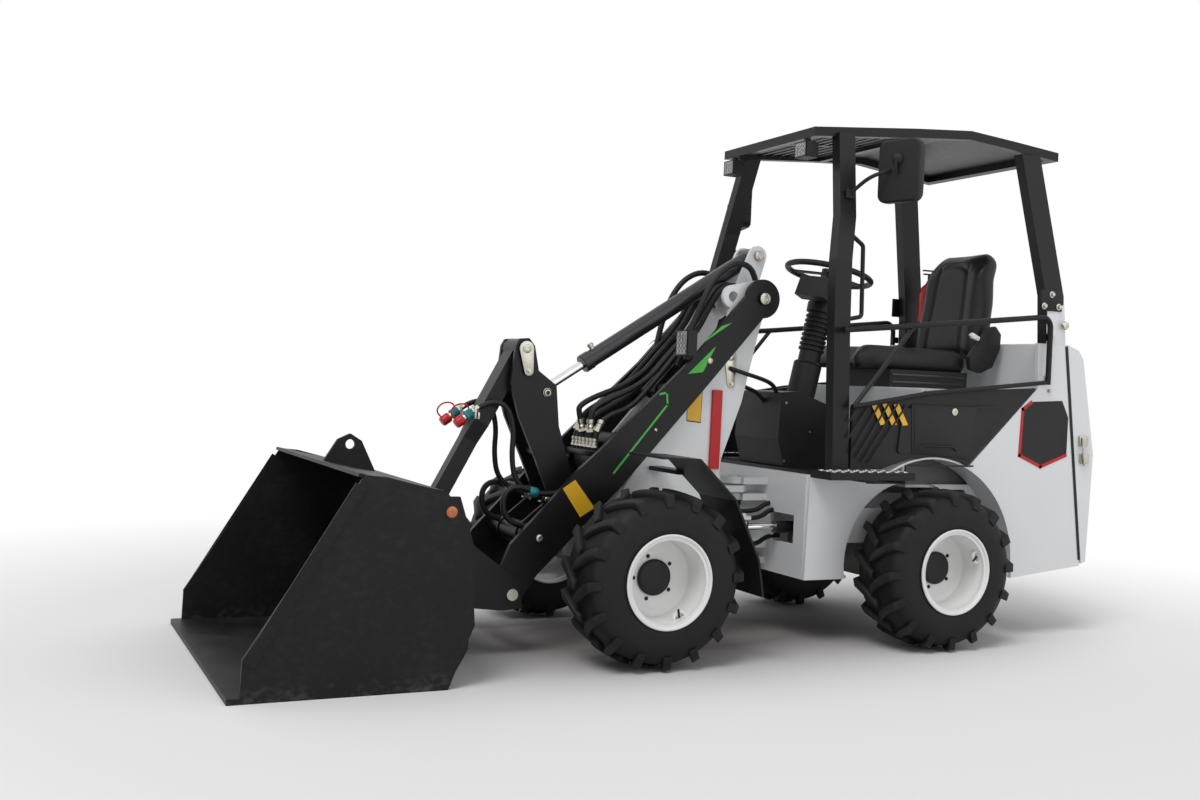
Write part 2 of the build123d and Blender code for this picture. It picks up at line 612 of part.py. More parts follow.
def steering_column():
    """Sloping column with a bellows at its foot and the display beside it."""
    foot = Vector(*COLUMN_FOOT)
    run = Vector(*STEER_HUB) - foot
    plane = Plane(origin=foot, z_dir=run.normalized(), x_dir=(1, 0, 0))
    top = run.length - WHEEL_HUB_T / 2 - FIT
    column = extrude(plane * Circle(48), top - 130)
    column += extrude(plane * Circle(62), 230)
    column += extrude(plane.offset(top - 130) * Circle(30), 90)
    column += extrude(plane.offset(top - 40) * Circle(12), 40)
    pod = Pos(130, PIVOT_Y + 290, 1480) * Rot(-20, 0, 20) * Box(150, 60, 90)
    column += pod + block((20, 120), (PIVOT_Y + 300, PIVOT_Y + 415), (1440, 1470))
    return column - front_console()


def steering_wheel():
    ring = Torus(STEER_WHEEL_R, STEER_RIM_R)
    hub = Cylinder(34, WHEEL_HUB_T)
    wheel = ring + hub
    for turn in (90, 210, 330):
        wheel += Rot(0, 0, turn) * Pos(STEER_WHEEL_R / 2, 0, 0) * Box(STEER_WHEEL_R - 10, 24, 8)
    wheel += Pos(STEER_WHEEL_R * cos(radians(150)), STEER_WHEEL_R * sin(radians(150)), 34) * Cylinder(16, 50)
    return Pos(*STEER_HUB) * Rot(column_lean(), 0, 0) * wheel


def column_lean():
    """The column's lean from upright, in degrees about X."""
    return -degrees(atan2(STEER_HUB[1] - COLUMN_FOOT[1], STEER_HUB[2] - COLUMN_FOOT[2]))


def seat():
    """Base, cushion and backrest."""
    base_top = 1150
    base = block((-230, 230), (WHEELBASE - 30, WHEELBASE + 400), (DECK_Z + DECK_T / 2 + FIT, base_top))
    low = base_top + FIT
    sides = [(-220, low), (440, low), (440, 1225), (320, 1200), (-180, 1238), (-230, 1215)]
    cushion = side_plate(from_axle(sides), -245, 245, 10)
    back = side_plate(from_axle([(440 + FIT, 1180), (495, 1180), (565, 1300), (630, 1680), (610, 1735),
                                 (560, 1735), (495, 1640), (440 + FIT, 1240)]), -240, 240)
    return base, cushion, back


def canopy_frame():
    """Four pillars, the roof's rim beams, cross beams and grab handles."""
    foot = BODY_HALF - PILLAR_W / 2
    back = WHEELBASE + 650
    front = PIVOT_Y + 165
    knee_x, knee_z = pillar_knee()
    fronts = [(foot, front + 22, FLOOR_Z + FLOOR_T + FIT), (foot, front + 1, 1290), (foot - 5, front, 1570),
              (knee_x, front + 32, knee_z), (ROOF_FRONT_HALF, front + 75, 2100)]
    rears = [(foot - 5, back, HOOD_Z + DECK_T / 2 + FIT), (foot - 5, back - 13, 1500),
             (ROOF_REAR_HALF - 20, back - 128, 2110)]
    frame = Part()
    for stations, depth in ((fronts, PILLAR_D), (rears, 105)):
        cuts = [Plane.XY.offset(z) * Pos(x, y) * Rectangle(PILLAR_W, depth) for x, y, z in stations]
        frame += loft(cuts, ruled=True)
    grip = [(foot - 9, front + 25, 1330), (foot - 19, front + 125, 1350), (foot - 35, front + 130, 1640),
            (foot - 27, front + 43, 1690)]
    handle = pipe(grip, [18, 18], 9)
    hinge_end = GATE_X - GATE_TUBE_R - FIT
    hinge = block((foot + 15, hinge_end), (GATE_HINGE_Y + 12, GATE_HINGE_Y + 30), (1300, 1330))
    hinge += block((BODY_HALF + 10, hinge_end), (GATE_HINGE_Y - 14, GATE_HINGE_Y + 30), (1300, 1330))
    frame = both_sides(frame + handle + hinge)
    outer = Polygon((-ROOF_FRONT_HALF, ROOF_FRONT_Y), (ROOF_FRONT_HALF, ROOF_FRONT_Y),
                    (ROOF_REAR_HALF, ROOF_REAR_Y), (-ROOF_REAR_HALF, ROOF_REAR_Y), align=None)
    plan = outer - offset(outer, -BEAM_W)
    plan += Pos(0, ROOF_SPLIT_Y) * Rectangle(2 * ROOF_REAR_HALF, BEAM_W) & outer
    rim_beams = upward(plan, ROOF_LOW, ROOF_HIGH) & camber(0, BEAM_D)
    return frame + rim_beams


def pillar_knee():
    """Middle (x, z) of the front pillar where it starts to lean in to the roof."""
    return BODY_HALF - PILLAR_W / 2 - 35, 1750


def camber(top_gap, depth):
    """A cambered slab whose top follows the roof line."""
    line = [(ROOF_FRONT_Y - 5, 2113), (PIVOT_Y + 333, 2136), *from_axle([(-69, 2161), (212, 2183), (440, 2163)]),
            (ROOF_REAR_Y + 5, 2138)]
    top = [(y, z - top_gap) for y, z in line]
    low = [(y, z - depth) for y, z in reversed(top)]
    return side_plate(top + low, -ROOF_REAR_HALF, ROOF_REAR_HALF)


def roof_plan(y0, y1, gap):
    """The inside of the roof's rim between two stations."""
    outer = Polygon((-ROOF_FRONT_HALF, ROOF_FRONT_Y), (ROOF_FRONT_HALF, ROOF_FRONT_Y),
                    (ROOF_REAR_HALF, ROOF_REAR_Y), (-ROOF_REAR_HALF, ROOF_REAR_Y), align=None)
    inner = offset(outer, -BEAM_W - gap)
    return inner & (Pos(0, (y0 + y1) / 2) * Rectangle(2 * ROOF_REAR_HALF, y1 - y0))


def roof_panel():
    plan = roof_plan(ROOF_SPLIT_Y + BEAM_W / 2 + FIT, ROOF_REAR_Y, FIT)
    return upward(plan, ROOF_LOW, ROOF_HIGH) & camber(2, 10)


def roof_grille():
    """Cross bars between the rim beams of the roof's front half."""
    y0 = ROOF_FRONT_Y + BEAM_W + FIT
    y1 = ROOF_SPLIT_Y - BEAM_W / 2 - FIT
    plan = roof_plan(y0, y1, FIT)
    bars = Sketch()
    count = 9
    for i in range(count):
        y = y0 + (i + 0.5) * (y1 - y0) / count
        bars += Pos(0, y) * Rectangle(2 * ROOF_REAR_HALF, 14)
    bars += Rectangle(20, 2 * ROOF_REAR_Y)
    return upward(bars & plan, ROOF_LOW, ROOF_HIGH) & camber(8, 14)


def canopy_lamps():
    lamp = block((240, 320), (ROOF_FRONT_Y - 19, ROOF_FRONT_Y + 43), (1996, 2060))
    lamp += block((270, 290), (ROOF_FRONT_Y + 5, ROOF_FRONT_Y + 25), (2060, 2075.6))
    return both_sides(lamp)


def mirrors():
    """Mirror heads on bent arms from the front pillars."""
    foot_low, foot_high = 1822, 1858
    knee_x, knee_z = pillar_knee()
    lean = (ROOF_FRONT_HALF - knee_x) / (2100 - knee_z)
    face = knee_x + PILLAR_W / 2 + max(lean * (foot_low - knee_z), lean * (foot_high - knee_z)) + FIT
    arm = pipe([(face + 5, PIVOT_Y + 210, 1840), (BODY_HALF + 40, PIVOT_Y + 240, 1900),
                (BODY_HALF + 60, PIVOT_Y + 325, 1935)], [30], 8)
    arm += block((face, face + 11), (PIVOT_Y + 190, PIVOT_Y + 230), (foot_low, foot_high))
    head = Pos(BODY_HALF + 88, PIVOT_Y + 352, 1929) * Rot(0, 0, 18) * Box(190, 46, 250)
    head = fillet(head.edges().filter_by(Axis.Z), 16)
    return both_sides(head + arm)


def gate(sign):
    """Side guard of bent tube on two hinge eyes."""
    x = GATE_X
    middle = WHEELBASE - 140
    bends = [(x, GATE_HINGE_Y, 1110), (x, GATE_HINGE_Y, 1405), (x, middle, 1325), (x, PIVOT_Y + 152, 1288)]
    top = pipe(bends, [45, 200], GATE_TUBE_R)
    bends = [(x, GATE_HINGE_Y, 1120), (x, WHEELBASE - 62, 1052), (x, PIVOT_Y + 208, 984)]
    low = pipe(bends, [200], GATE_TUBE_R * 0.8)
    brace = pipe([(x, middle - 20, 1318), (x, PIVOT_Y + 220, 990)], None, GATE_TUBE_R * 0.8)
    guard = top + low + brace
    return guard if sign > 0 else mirror(guard, about=Plane.YZ)


def rear_door():
    """Bulged rear door with a sunk back."""
    outer = side_plate(from_axle([(725, 1288), (790, 1268), (820, 1230), (906, 807), (888, 328), (862, 322)]),
                       -BODY_HALF, BODY_HALF)
    inner_x = BODY_HALF - PANEL_T
    pocket = side_plate(from_axle([(720, 1262), (775, 1245), (795, 1220), (880, 807), (864, 350), (780, 345)]),
                        -inner_x, inner_x)
    door = outer - pocket
    for z in DOOR_HINGES:
        door += post(DOOR_AXIS, HINGE_R, z - HINGE_H, z)
        door += block((DOOR_AXIS[0], -BODY_HALF + 6), (DOOR_AXIS[1], DOOR_AXIS[1] + 40), (z - HINGE_H, z))
    return door


def fire_extinguisher():
    bottle = post(EXTINGUISHER, 52, HOOD_Z + DECK_T / 2 + FIT, 1600)
    bottle += post(EXTINGUISHER, 22, 1600, 1650)
    handle_x, handle_y = EXTINGUISHER
    bottle += block((handle_x - 20, handle_x + 20), (handle_y - 45, handle_y + 25), (1640, 1665))
    return bottle


def safety_strut():
    """Red boom support stowed on the tower's side."""
    x0 = TOWER_HALF + FIT
    return folded([(447, 1028), (444, 706)], 44, x0, x0 + 12)


def boom_lamp():
    x0 = BOOM_HALF - BOOM_T
    lamp = block((x0 - 45, x0 + 45), (262, 308), (1160, 1262))
    return lamp + block((x0 + 4, x0 + 16), (270, 300), (1146, 1160))


def link_pin():
    return cross_pin(LEVER_TOP, LINK_PIN_R - PIN_CLEAR, -LEVER_HALF - PIN_TAIL, LEVER_HALF + PIN_TAIL)


def lever_pin():
    end = LEVER_HALF + SIDE_PLAY + CHEEK_T + PIN_TAIL
    return cross_pin(LEVER_PIN, LEVER_PIN_R - PIN_CLEAR, -end, end)


def bucket_pin():
    end = BOOM_HALF + COUPLER_GAP + COUPLER_T + PIN_TAIL
    return cross_pin(COUPLER_PIN, COUPLER_PIN_R - PIN_CLEAR, -end, end)


def save(name, shape):
    """Write one piece, moved so that the origin is the middle of the footprint."""
    export_step(Pos(0, -ORIGIN_Y, 0) * shape, f"parts/{name}.step")


def pieces():
    yield "front_chassis", front_frame()
    yield "front_axle", axle(0, 230, FRONT_SEAT)
    yield "front_fenders", front_fenders()
    yield "safety_strut", safety_strut()
    yield "boom", boom()
    yield "boom_lamp", boom_lamp()
    yield "bell_crank", bell_crank()
    yield "lever_pin", lever_pin()
    yield "tilt_link", tilt_link()
    yield "link_pin", link_pin()
    yield "bucket_pin", bucket_pin()
    yield "quick_coupler", quick_coupler()
    yield "bucket", bucket()
    for name, parts in (("tilt", tilt_cylinder()), ("lift", lift_cylinder()), ("steer", steer_cylinder())):
        for piece, shape in zip(("barrel", "rod", "piston"), parts):
            yield f"{name}_cylinder_{piece}", shape
    yield "rear_chassis", rear_frame()
    yield "rear_axle", axle(WHEELBASE, RAIL_X, REAR_SEAT)
    yield "battery_block", battery_block()
    yield "body_sides", body_sides()
    yield "rear_deck", rear_deck()
    yield "battery_covers", battery_covers()
    yield "platform_floor", platform_floor()
    yield "entry_steps", entry_steps()
    yield "front_console", front_console()
    yield "steering_column", steering_column()
    yield "steering_wheel", steering_wheel()
    for name, shape in zip(("seat_base", "seat_cushion", "seat_backrest"), seat()):
        yield name, shape
    yield "canopy_frame", canopy_frame()
    yield "roof_panel", roof_panel()
    yield "roof_grille", roof_grille()
    yield "canopy_lamps", canopy_lamps()
    yield "mirrors", mirrors()
    yield "gate_left", gate(1)
    yield "gate_right", gate(-1)
    yield "rear_door", rear_door()
    yield "fire_extinguisher", fire_extinguisher()
    for name, sign, y in wheel_places():
        turn = Rot(0, 0, 0 if sign > 0 else 180)
        place = Pos(sign * WHEEL_X, y, TYRE_R) * turn
        yield f"tyre_{name}", place * tyre()
        yield f"rim_{name}", place * rim()


os.makedirs("parts", exist_ok=True)
for piece_name, piece_shape in pieces():
    save(piece_name, piece_shape)
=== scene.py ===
# %% [markdown]
# A compact articulated wheel loader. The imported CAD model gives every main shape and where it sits. This lesson
# dresses that model: it gives each surface a finish, and adds the pieces that a plain solid can't show, such as
# tyre lugs, padded seats, hoses and lamps. Metres throughout. +Z is up, the bucket faces -Y and +X is the
# machine's own left.

# %% Load the frame
import json
from math import cos, exp, pi, radians, sin

import bmesh
import bpy
from mathutils import Matrix, Vector


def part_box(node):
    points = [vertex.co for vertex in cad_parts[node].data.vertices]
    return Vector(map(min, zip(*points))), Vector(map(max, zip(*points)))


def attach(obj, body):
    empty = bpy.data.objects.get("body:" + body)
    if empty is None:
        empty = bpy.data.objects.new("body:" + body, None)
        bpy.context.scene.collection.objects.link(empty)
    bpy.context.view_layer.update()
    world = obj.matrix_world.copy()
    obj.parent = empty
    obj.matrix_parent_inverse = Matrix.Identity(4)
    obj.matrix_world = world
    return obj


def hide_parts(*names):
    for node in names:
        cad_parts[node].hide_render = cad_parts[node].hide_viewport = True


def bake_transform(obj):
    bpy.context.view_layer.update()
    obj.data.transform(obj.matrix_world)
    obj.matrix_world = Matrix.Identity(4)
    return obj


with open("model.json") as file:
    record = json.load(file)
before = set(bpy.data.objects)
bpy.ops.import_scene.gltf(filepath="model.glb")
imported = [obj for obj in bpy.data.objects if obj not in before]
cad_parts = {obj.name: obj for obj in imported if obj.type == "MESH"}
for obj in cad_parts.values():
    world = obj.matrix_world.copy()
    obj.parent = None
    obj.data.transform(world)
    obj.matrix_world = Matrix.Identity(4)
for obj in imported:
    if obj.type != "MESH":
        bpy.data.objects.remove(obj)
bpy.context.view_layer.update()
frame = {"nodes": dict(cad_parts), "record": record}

# %% [markdown]
# Places on a loader are easiest to think of from the front axle: so far ahead, so far behind. The frame's origin is
# under the middle of the whole machine, so one helper shifts a place along Y.

# %% Places from the front axle
AXLE_Y = -0.343
WHEELBASE = 1.32
WHEEL_X = 0.529
TYRE_R = 0.331
# Places (y, z) seen from the side
BOOM_PIVOT = (0.627, 1.41)
TILT_EAR = (0.695, 1.603)
LIFT_EAR = (0.395, 0.4)
BOOM_LIFT_EYE = (0.385, 1.144)
NOSE_TUBE = (-0.33, 0.44)
LEVER_TOP = (-0.359, 1.158)
LEVER_CYL = (-0.261, 0.99)


def at(x, y, z):
    """A place given from the ground point under the front axle."""
    return Vector((x, y + AXLE_Y, z))


# %% [markdown]
# A finish in Blender is a tree of nodes. Wiring it by hand is slow to read, so a wire here behaves like a number:
# adding or multiplying two wires adds the Math node that does it. Colours can't go through Math nodes, so they are
# mixed with a mask by the Mix node instead.

# %% Wires and finishes
class Wire:
    """The output of a node. Arithmetic on it adds Math nodes."""

    def __init__(self, finish, socket):
        self.finish, self.socket = finish, socket

    def maths(self, operation, *values, clamp=False):
        return self.finish.node("ShaderNodeMath", {"operation": operation, "use_clamp": clamp}, values)

    def __add__(self, other):
        return self.maths("ADD", self, other)

    def __sub__(self, other):
        return self.maths("SUBTRACT", self, other)

    def __rsub__(self, other):
        return self.maths("SUBTRACT", other, self)

    def __mul__(self, other):
        return self.maths("MULTIPLY", self, other)

    __radd__ = __add__
    __rmul__ = __mul__

    def held(self):
        """The same value, kept between 0 and 1."""
        return self.maths("ADD", self, 0.0, clamp=True)


class Finish:
    """A material that is being wired."""

    def __init__(self, name):
        self.material = bpy.data.materials.new(name)
        self.material.use_nodes = True
        self.tree = self.material.node_tree
        self.shader = self.tree.nodes["Principled BSDF"]
        self.place = self.node("ShaderNodeTexCoord", out="Object")

    def node(self, kind, settings=None, values=(), out=0):
        made = self.tree.nodes.new(kind)
        settings = dict(settings or {})
        for spot, (level, colour) in enumerate(settings.pop("stops", ())):
            ramp = made.color_ramp.elements
            stop = ramp[spot] if spot < len(ramp) else ramp.new(level)
            stop.position, stop.color = level, colour
        for name, value in settings.items():
            setattr(made, name, value)
        for key, value in values.items() if isinstance(values, dict) else enumerate(values):
            if isinstance(value, Wire):
                self.tree.links.new(value.socket, made.inputs[key])
            else:
                made.inputs[key].default_value = value
        return Wire(self, made.outputs[out])

    def stretched(self, x, y, z):
        """The place on the object, scaled along each axis."""
        return self.node("ShaderNodeMapping", {}, {"Vector": self.place, "Scale": (x, y, z)})

    def noise(self, scale, detail=2.0, place=None):
        values = {"Vector": place or self.place, "Scale": scale, "Detail": detail}
        return self.node("ShaderNodeTexNoise", {}, values)

    def grains(self, scale, feature="F1"):
        values = {"Vector": self.place, "Scale": scale}
        return self.node("ShaderNodeTexVoronoi", {"feature": feature}, values)

    def height(self):
        """How high a point is above the ground."""
        return self.node("ShaderNodeSeparateXYZ", {}, [self.place], out="Z")

    def blend(self, mask, a, b):
        settings = {"data_type": "RGBA"}
        return self.node("ShaderNodeMix", settings, {0: mask, 6: a, 7: b}, out=2)

    def bump(self, height, distance, strength=1.0):
        values = {"Height": height, "Distance": distance, "Strength": strength}
        return self.node("ShaderNodeBump", {}, values)

    def give(self, **sockets):
        """Sets or links the shader's own sockets, written with _ for a blank."""
        for name, value in sockets.items():
            socket = self.shader.inputs[name.replace("_", " ")]
            if isinstance(value, Wire):
                self.tree.links.new(value.socket, socket)
            else:
                socket.default_value = value
        return self.material


# %% [markdown]
# Sprayed paint on steel isn't perfectly flat: it has a fine orange peel that breaks up its highlights, its gloss
# wanders a little, and low surfaces gather dust. One recipe with different numbers makes every painted finish of
# the machine, which keeps the family look that one paint shop gives.

# %% Paint
def grey(level, tint=(1.0, 1.0, 1.0)):
    return (level * tint[0], level * tint[1], level * tint[2], 1.0)


def painted(name, colour, dusty, rough, peel=0.00012, coat=0.0, dust_top=0.9, dust=0.35, shine=0.5):
    finish = Finish(name)
    patches = finish.noise(3.0, 4.0)
    low = (1.0 - finish.height() * (1.0 / dust_top)).held()
    mask = (low * (patches * 1.6 - 0.3).held() * dust + patches * 0.08).held()
    fine = finish.noise(420.0, 1.0)
    gloss = patches * 0.1 + finish.noise(38.0) * 0.08 + mask * 0.25
    return finish.give(
        Base_Color=finish.blend(mask, colour, dusty),
        Roughness=gloss + (rough - 0.09),
        Normal=finish.bump(fine, peel),
        Coat_Weight=coat,
        Coat_Roughness=0.12,
        Specular_IOR_Level=shine,
    )


white_paint = painted("white_paint", grey(0.66, (0.985, 1.0, 1.02)), grey(0.52, (1.0, 0.99, 0.96)), 0.36, coat=0.25)
rim_white = painted("rim_white", grey(0.74, (1.0, 1.0, 0.99)), grey(0.5, (1.0, 0.98, 0.94)), 0.3, coat=0.35, dust=0.25)
black_paint = painted("black_paint", grey(0.0055, (1.0, 1.0, 1.2)), grey(0.022), 0.36, dust=0.2, shine=0.24)
axle_grey = painted("axle_grey", grey(0.2, (1.05, 1.0, 0.93)), grey(0.3, (1.05, 1.0, 0.92)), 0.55, peel=0.0006)
red_paint = painted("red_paint", (0.44, 0.007, 0.01, 1.0), (0.36, 0.02, 0.02, 1.0), 0.34, coat=0.1, shine=0.3)
tube_paint = painted("tube_paint", grey(0.013, (1.0, 1.0, 1.3)), grey(0.03), 0.3, coat=0.2, dust=0.2, shine=0.4)
yellow_plate = painted("yellow_plate", (0.72, 0.4, 0.015, 1.0), (0.62, 0.38, 0.05, 1.0), 0.38)
green_stripe = painted("green_stripe", (0.045, 0.36, 0.04, 1.0), (0.06, 0.34, 0.06, 1.0), 0.38)
teal_plastic = painted("teal_plastic", (0.004, 0.15, 0.165, 1.0), (0.02, 0.17, 0.18, 1.0), 0.36)
battery = painted("battery", grey(0.1), grey(0.16), 0.5)
print("painted finishes", len(bpy.data.materials))

# %% [markdown]
# A bucket works in gravel. Its paint is rubbed thin on the floor and the cutting edge, with scratches that run the
# way the load slides. Noise that is stretched along one axis makes such scratches, and the height above the ground
# says where the bare steel starts.

# %% The bucket's worn paint
def worn_bucket():
    finish = Finish("bucket_black")
    scratches = finish.noise(55.0, 3.0, finish.stretched(9.0, 0.6, 0.9))
    patches = finish.noise(5.0, 5.0)
    low = (1.0 - finish.height() * 16.0).held()
    bare = (scratches * 2.2 + patches - 1.55).held() * (low * 0.75 + 0.1)
    colour = finish.blend(patches, grey(0.0045), grey(0.01))
    return finish.give(
        Base_Color=finish.blend(bare.held(), colour, grey(0.11)),
        Roughness=patches * 0.22 + 0.36,
        Specular_IOR_Level=0.2,
        Metallic=(bare * 0.8).held(),
        Normal=finish.bump(scratches * 0.4 + finish.noise(300.0) * 0.5, 0.00018),
    )


bucket_black = worn_bucket()

# %% [markdown]
# Moulded plastic has a spark-eroded grain, vinyl a leather grain, and rubber a soft dusty bloom. Each is a cell
# pattern or a noise at its own real scale: half a millimetre for the plastic, two millimetres for the vinyl.

# %% Plastic, vinyl and rubber
def moulded(name, colour, scale, depth, rough):
    finish = Finish(name)
    cells = finish.grains(scale)
    patches = finish.noise(9.0, 3.0)
    return finish.give(
        Base_Color=finish.blend(patches, colour, grey(colour[0] * 2.1 + 0.003)),
        Roughness=patches * 0.16 + (rough - 0.08),
        Normal=finish.bump(cells + finish.noise(scale * 0.6) * 0.5, depth),
        Specular_IOR_Level=0.28,
    )


black_plastic = moulded("black_plastic", grey(0.0055), 900.0, 0.00022, 0.5)
vinyl = moulded("vinyl", grey(0.006, (1.0, 1.0, 1.1)), 420.0, 0.0003, 0.4)
hose_rubber = moulded("hose_rubber", grey(0.0045), 700.0, 0.00025, 0.5)
seal_rubber = moulded("seal_rubber", grey(0.006), 500.0, 0.0002, 0.65)


def tyre_rubber():
    finish = Finish("tyre_rubber")
    wear_and_painted_shadow = finish.node("ShaderNodeAttribute", {"attribute_name": "tread"}, out="Fac")
    bloom = finish.noise(14.0, 5.0)
    fine = finish.noise(240.0, 3.0)
    dust = (wear_and_painted_shadow * 0.55 + bloom * 0.8 - 0.45).held() * 0.8
    return finish.give(
        Base_Color=finish.blend(dust, grey(0.0065, (1.0, 1.0, 1.15)), grey(0.036, (1.0, 1.0, 1.02))),
        Specular_IOR_Level=0.25,
        Roughness=bloom * 0.2 + 0.5,
        Normal=finish.bump(fine * 0.6 + bloom * 0.6, 0.0009),
    )


tyre_finish = tyre_rubber()

# %% [markdown]
# Zinc plating is a pale metal with a faint yellow cast and a crystalline mottle. A cylinder rod is hard chrome,
# ground to a fine finish, so it is a mirror with hair-thin lines round it.

# %% Bare metals
def metal(name, colour, other, rough, scale, depth):
    finish = Finish(name)
    mottle = finish.grains(scale, "SMOOTH_F1")
    soft = finish.noise(26.0, 3.0)
    return finish.give(
        Base_Color=finish.blend((mottle * 0.7 + soft * 0.4).held(), colour, other),
        Roughness=soft * 0.16 + (rough - 0.08),
        Metallic=1.0,
        Normal=finish.bump(mottle, depth),
    )


pin_zinc = metal("pin_zinc", grey(0.58, (1.0, 0.98, 0.86)), grey(0.4, (1.0, 0.95, 0.78)), 0.32, 260.0, 0.00008)
rod_chrome = metal("rod_chrome", grey(0.74), grey(0.66, (0.98, 0.99, 1.04)), 0.12, 700.0, 0.00001)
steel = metal("steel", grey(0.42), grey(0.3), 0.38, 320.0, 0.00008)
mirror_glass = metal("mirror_glass", grey(0.8), grey(0.78), 0.09, 40.0, 0.0)

# %% [markdown]
# Lamp lenses and reflectors are coloured plastic over a pattern. A dark display is glossy and nearly black. None of
# them is really see-through at this size, so a bright, glossy surface with a cell pattern under it reads right and
# renders fast.

# %% Lamps, reflector and display
def lens(name, colour, deep, scale, rough=0.12):
    finish = Finish(name)
    cells = finish.grains(scale)
    return finish.give(
        Base_Color=finish.blend((cells * 1.6).held(), colour, deep),
        Roughness=cells * 0.15 + rough,
        Coat_Weight=0.6,
        Normal=finish.bump(cells, 0.0006),
    )


lamp_lens = lens("lamp_lens", grey(0.62, (0.97, 1.0, 1.03)), grey(0.25), 190.0)
amber = lens("amber", (0.62, 0.15, 0.01, 1.0), (0.35, 0.07, 0.005, 1.0), 260.0)
display = lens("display", grey(0.01), grey(0.016), 12.0, 0.08)

# %% Finish every CAD node
by_slot = {
    "white_paint": white_paint,
    "black_paint": black_paint,
    "axle_grey": axle_grey,
    "battery": battery,
    "black_plastic": black_plastic,
    "vinyl": vinyl,
    "tyre": tyre_finish,
    "rim_white": rim_white,
    "red_paint": red_paint,
    "pin_zinc": pin_zinc,
    "cylinder": tube_paint,
    "rod_chrome": rod_chrome,
    "lamp": black_plastic,
    "teal_plastic": teal_plastic,
    "bucket_black": bucket_black,
}
for part in frame["record"]["subparts"]:
    mesh = frame["nodes"][part["node"]].data
    mesh.materials.clear()
    mesh.materials.append(by_slot[part["material_slot"]])

# %% [markdown]
# Every new piece ends in the same few steps. Doubled corners are merged, faces are turned outwards, edges sharper
# than an angle stay crisp while the rest shades smoothly, and the piece rides on the body that carries it.

# %% From a bmesh to a piece
MELT = 0.00003


def meshed(name, bm):
    """Closes a bmesh into a mesh."""
    mesh = bpy.data.meshes.new(name)
    bm.to_mesh(mesh)
    bm.free()
    return mesh


def placed(name, data):
    """A new object in the scene."""
    made = bpy.data.objects.new(name, data)
    bpy.context.scene.collection.objects.link(made)
    return made


def piece(name, bm, finish, body, slot, *nodes, sharp=35):
    """Gives a bmesh a finish and lets it ride on a body. A piece given no body rides on none."""
    bmesh.ops.remove_doubles(bm, verts=bm.verts, dist=MELT)
    bmesh.ops.recalc_face_normals(bm, faces=bm.faces)
    mesh = meshed(name, bm)
    mesh.shade_smooth()
    mesh.set_sharp_from_angle(angle=radians(sharp))
    mesh.materials.append(finish)
    made = placed(name, mesh)
    if body:
        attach(made, body)
    if nodes:
        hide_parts(*nodes)
    return made


# %% [markdown]
# Four shapes make nearly everything on a loader: a turned shape, spun from a profile as on a lathe; a block with
# rounded edges; a plate, extruded from an outline seen from the side; and a tube along a smooth route.

# %% Turned shapes, blocks, plates and tubes
def aimed(centre, axis):
    """Puts Z along an axis at a centre."""
    return Matrix.Translation(centre) @ Vector(axis).to_track_quat("Z", "Y").to_matrix().to_4x4()


def turned(bm, profile, centre, axis=(1, 0, 0), steps=24, closed=False):
    """Spins a profile of (along, radius) about an axis through a centre."""
    place = aimed(centre, axis)
    verts = [bm.verts.new(place @ Vector((radius, 0, along))) for along, radius in profile]
    ends = verts[1:] + (verts[:1] if closed else [])
    edges = [bm.edges.new(pair) for pair in zip(verts, ends)]
    about = Vector(axis).normalized()
    bmesh.ops.spin(bm, geom=verts + edges, cent=centre, axis=about, angle=2 * pi, steps=steps, use_merge=True)


def bevelled(bm, edges, by, segments=2):
    bmesh.ops.bevel(bm, geom=edges, offset=by, offset_type="OFFSET", segments=segments, profile=0.5,
                    affect="EDGES", material=-1)


def softened(bm, verts, by, segments=2):
    """Rounds the edges between some corners."""
    chosen = set(verts)
    bevelled(bm, [edge for edge in bm.edges if chosen.issuperset(edge.verts)], by, segments)


def block(bm, low, high, by=0.003, place=None, segments=2):
    """A block between two corners, with rounded edges."""
    low, high = Vector(low), Vector(high)
    size = Matrix.Diagonal((*(high - low), 1.0))
    matrix = (place or Matrix.Identity(4)) @ Matrix.Translation((low + high) / 2) @ size
    made = bmesh.ops.create_cube(bm, size=1.0, matrix=matrix)
    softened(bm, made["verts"], by, segments)


def plate(bm, outline, x0, x1, by=0.0):
    """A plate whose outline of (y, z) is seen from the side, between two widths."""
    verts = [bm.verts.new(at(x0, y, z)) for y, z in outline]
    made = bmesh.ops.extrude_face_region(bm, geom=[bm.faces.new(verts)])
    moved = [item for item in made["geom"] if isinstance(item, bmesh.types.BMVert)]
    bmesh.ops.translate(bm, verts=moved, vec=(x1 - x0, 0, 0))
    if by:
        softened(bm, verts + moved, by)


def tube(bm, route, radius, around=3, along=8):
    """A round tube along a smooth route."""
    data = bpy.data.curves.new("route", "CURVE")
    data.dimensions = "3D"
    spline = data.splines.new("NURBS")
    spline.points.add(len(route) - 1)
    for point, place in zip(spline.points, route):
        point.co = (*place, 1.0)
    spline.order_u = min(3, len(route))
    spline.use_endpoint_u = True
    data.bevel_depth, data.bevel_resolution, data.resolution_u = radius, around, along
    data.use_fill_caps = True
    holder = bpy.data.objects.new("route", data)
    mesh = bpy.data.meshes.new_from_object(holder)
    bm.from_mesh(mesh)
    bpy.data.objects.remove(holder)
    bpy.data.meshes.remove(mesh)


def nut(bm, centre, axis, across):
    """A hexagon head on its washer."""
    radius = across / 2
    face = [(-0.002, 0), (-0.002, 1.7 * radius), (0.0015, 1.7 * radius), (0.002, 1.6 * radius), (0.002, 0)]
    turned(bm, face, centre, axis, 16)
    place = aimed(centre, axis) @ Matrix.Translation((0, 0, 0.002 + across * 0.28))
    made = bmesh.ops.create_cone(bm, cap_ends=True, segments=6, radius1=radius * 1.15, radius2=radius * 1.08,
                                 depth=across * 0.56, matrix=place)
    softened(bm, made["verts"], across * 0.05, 1)


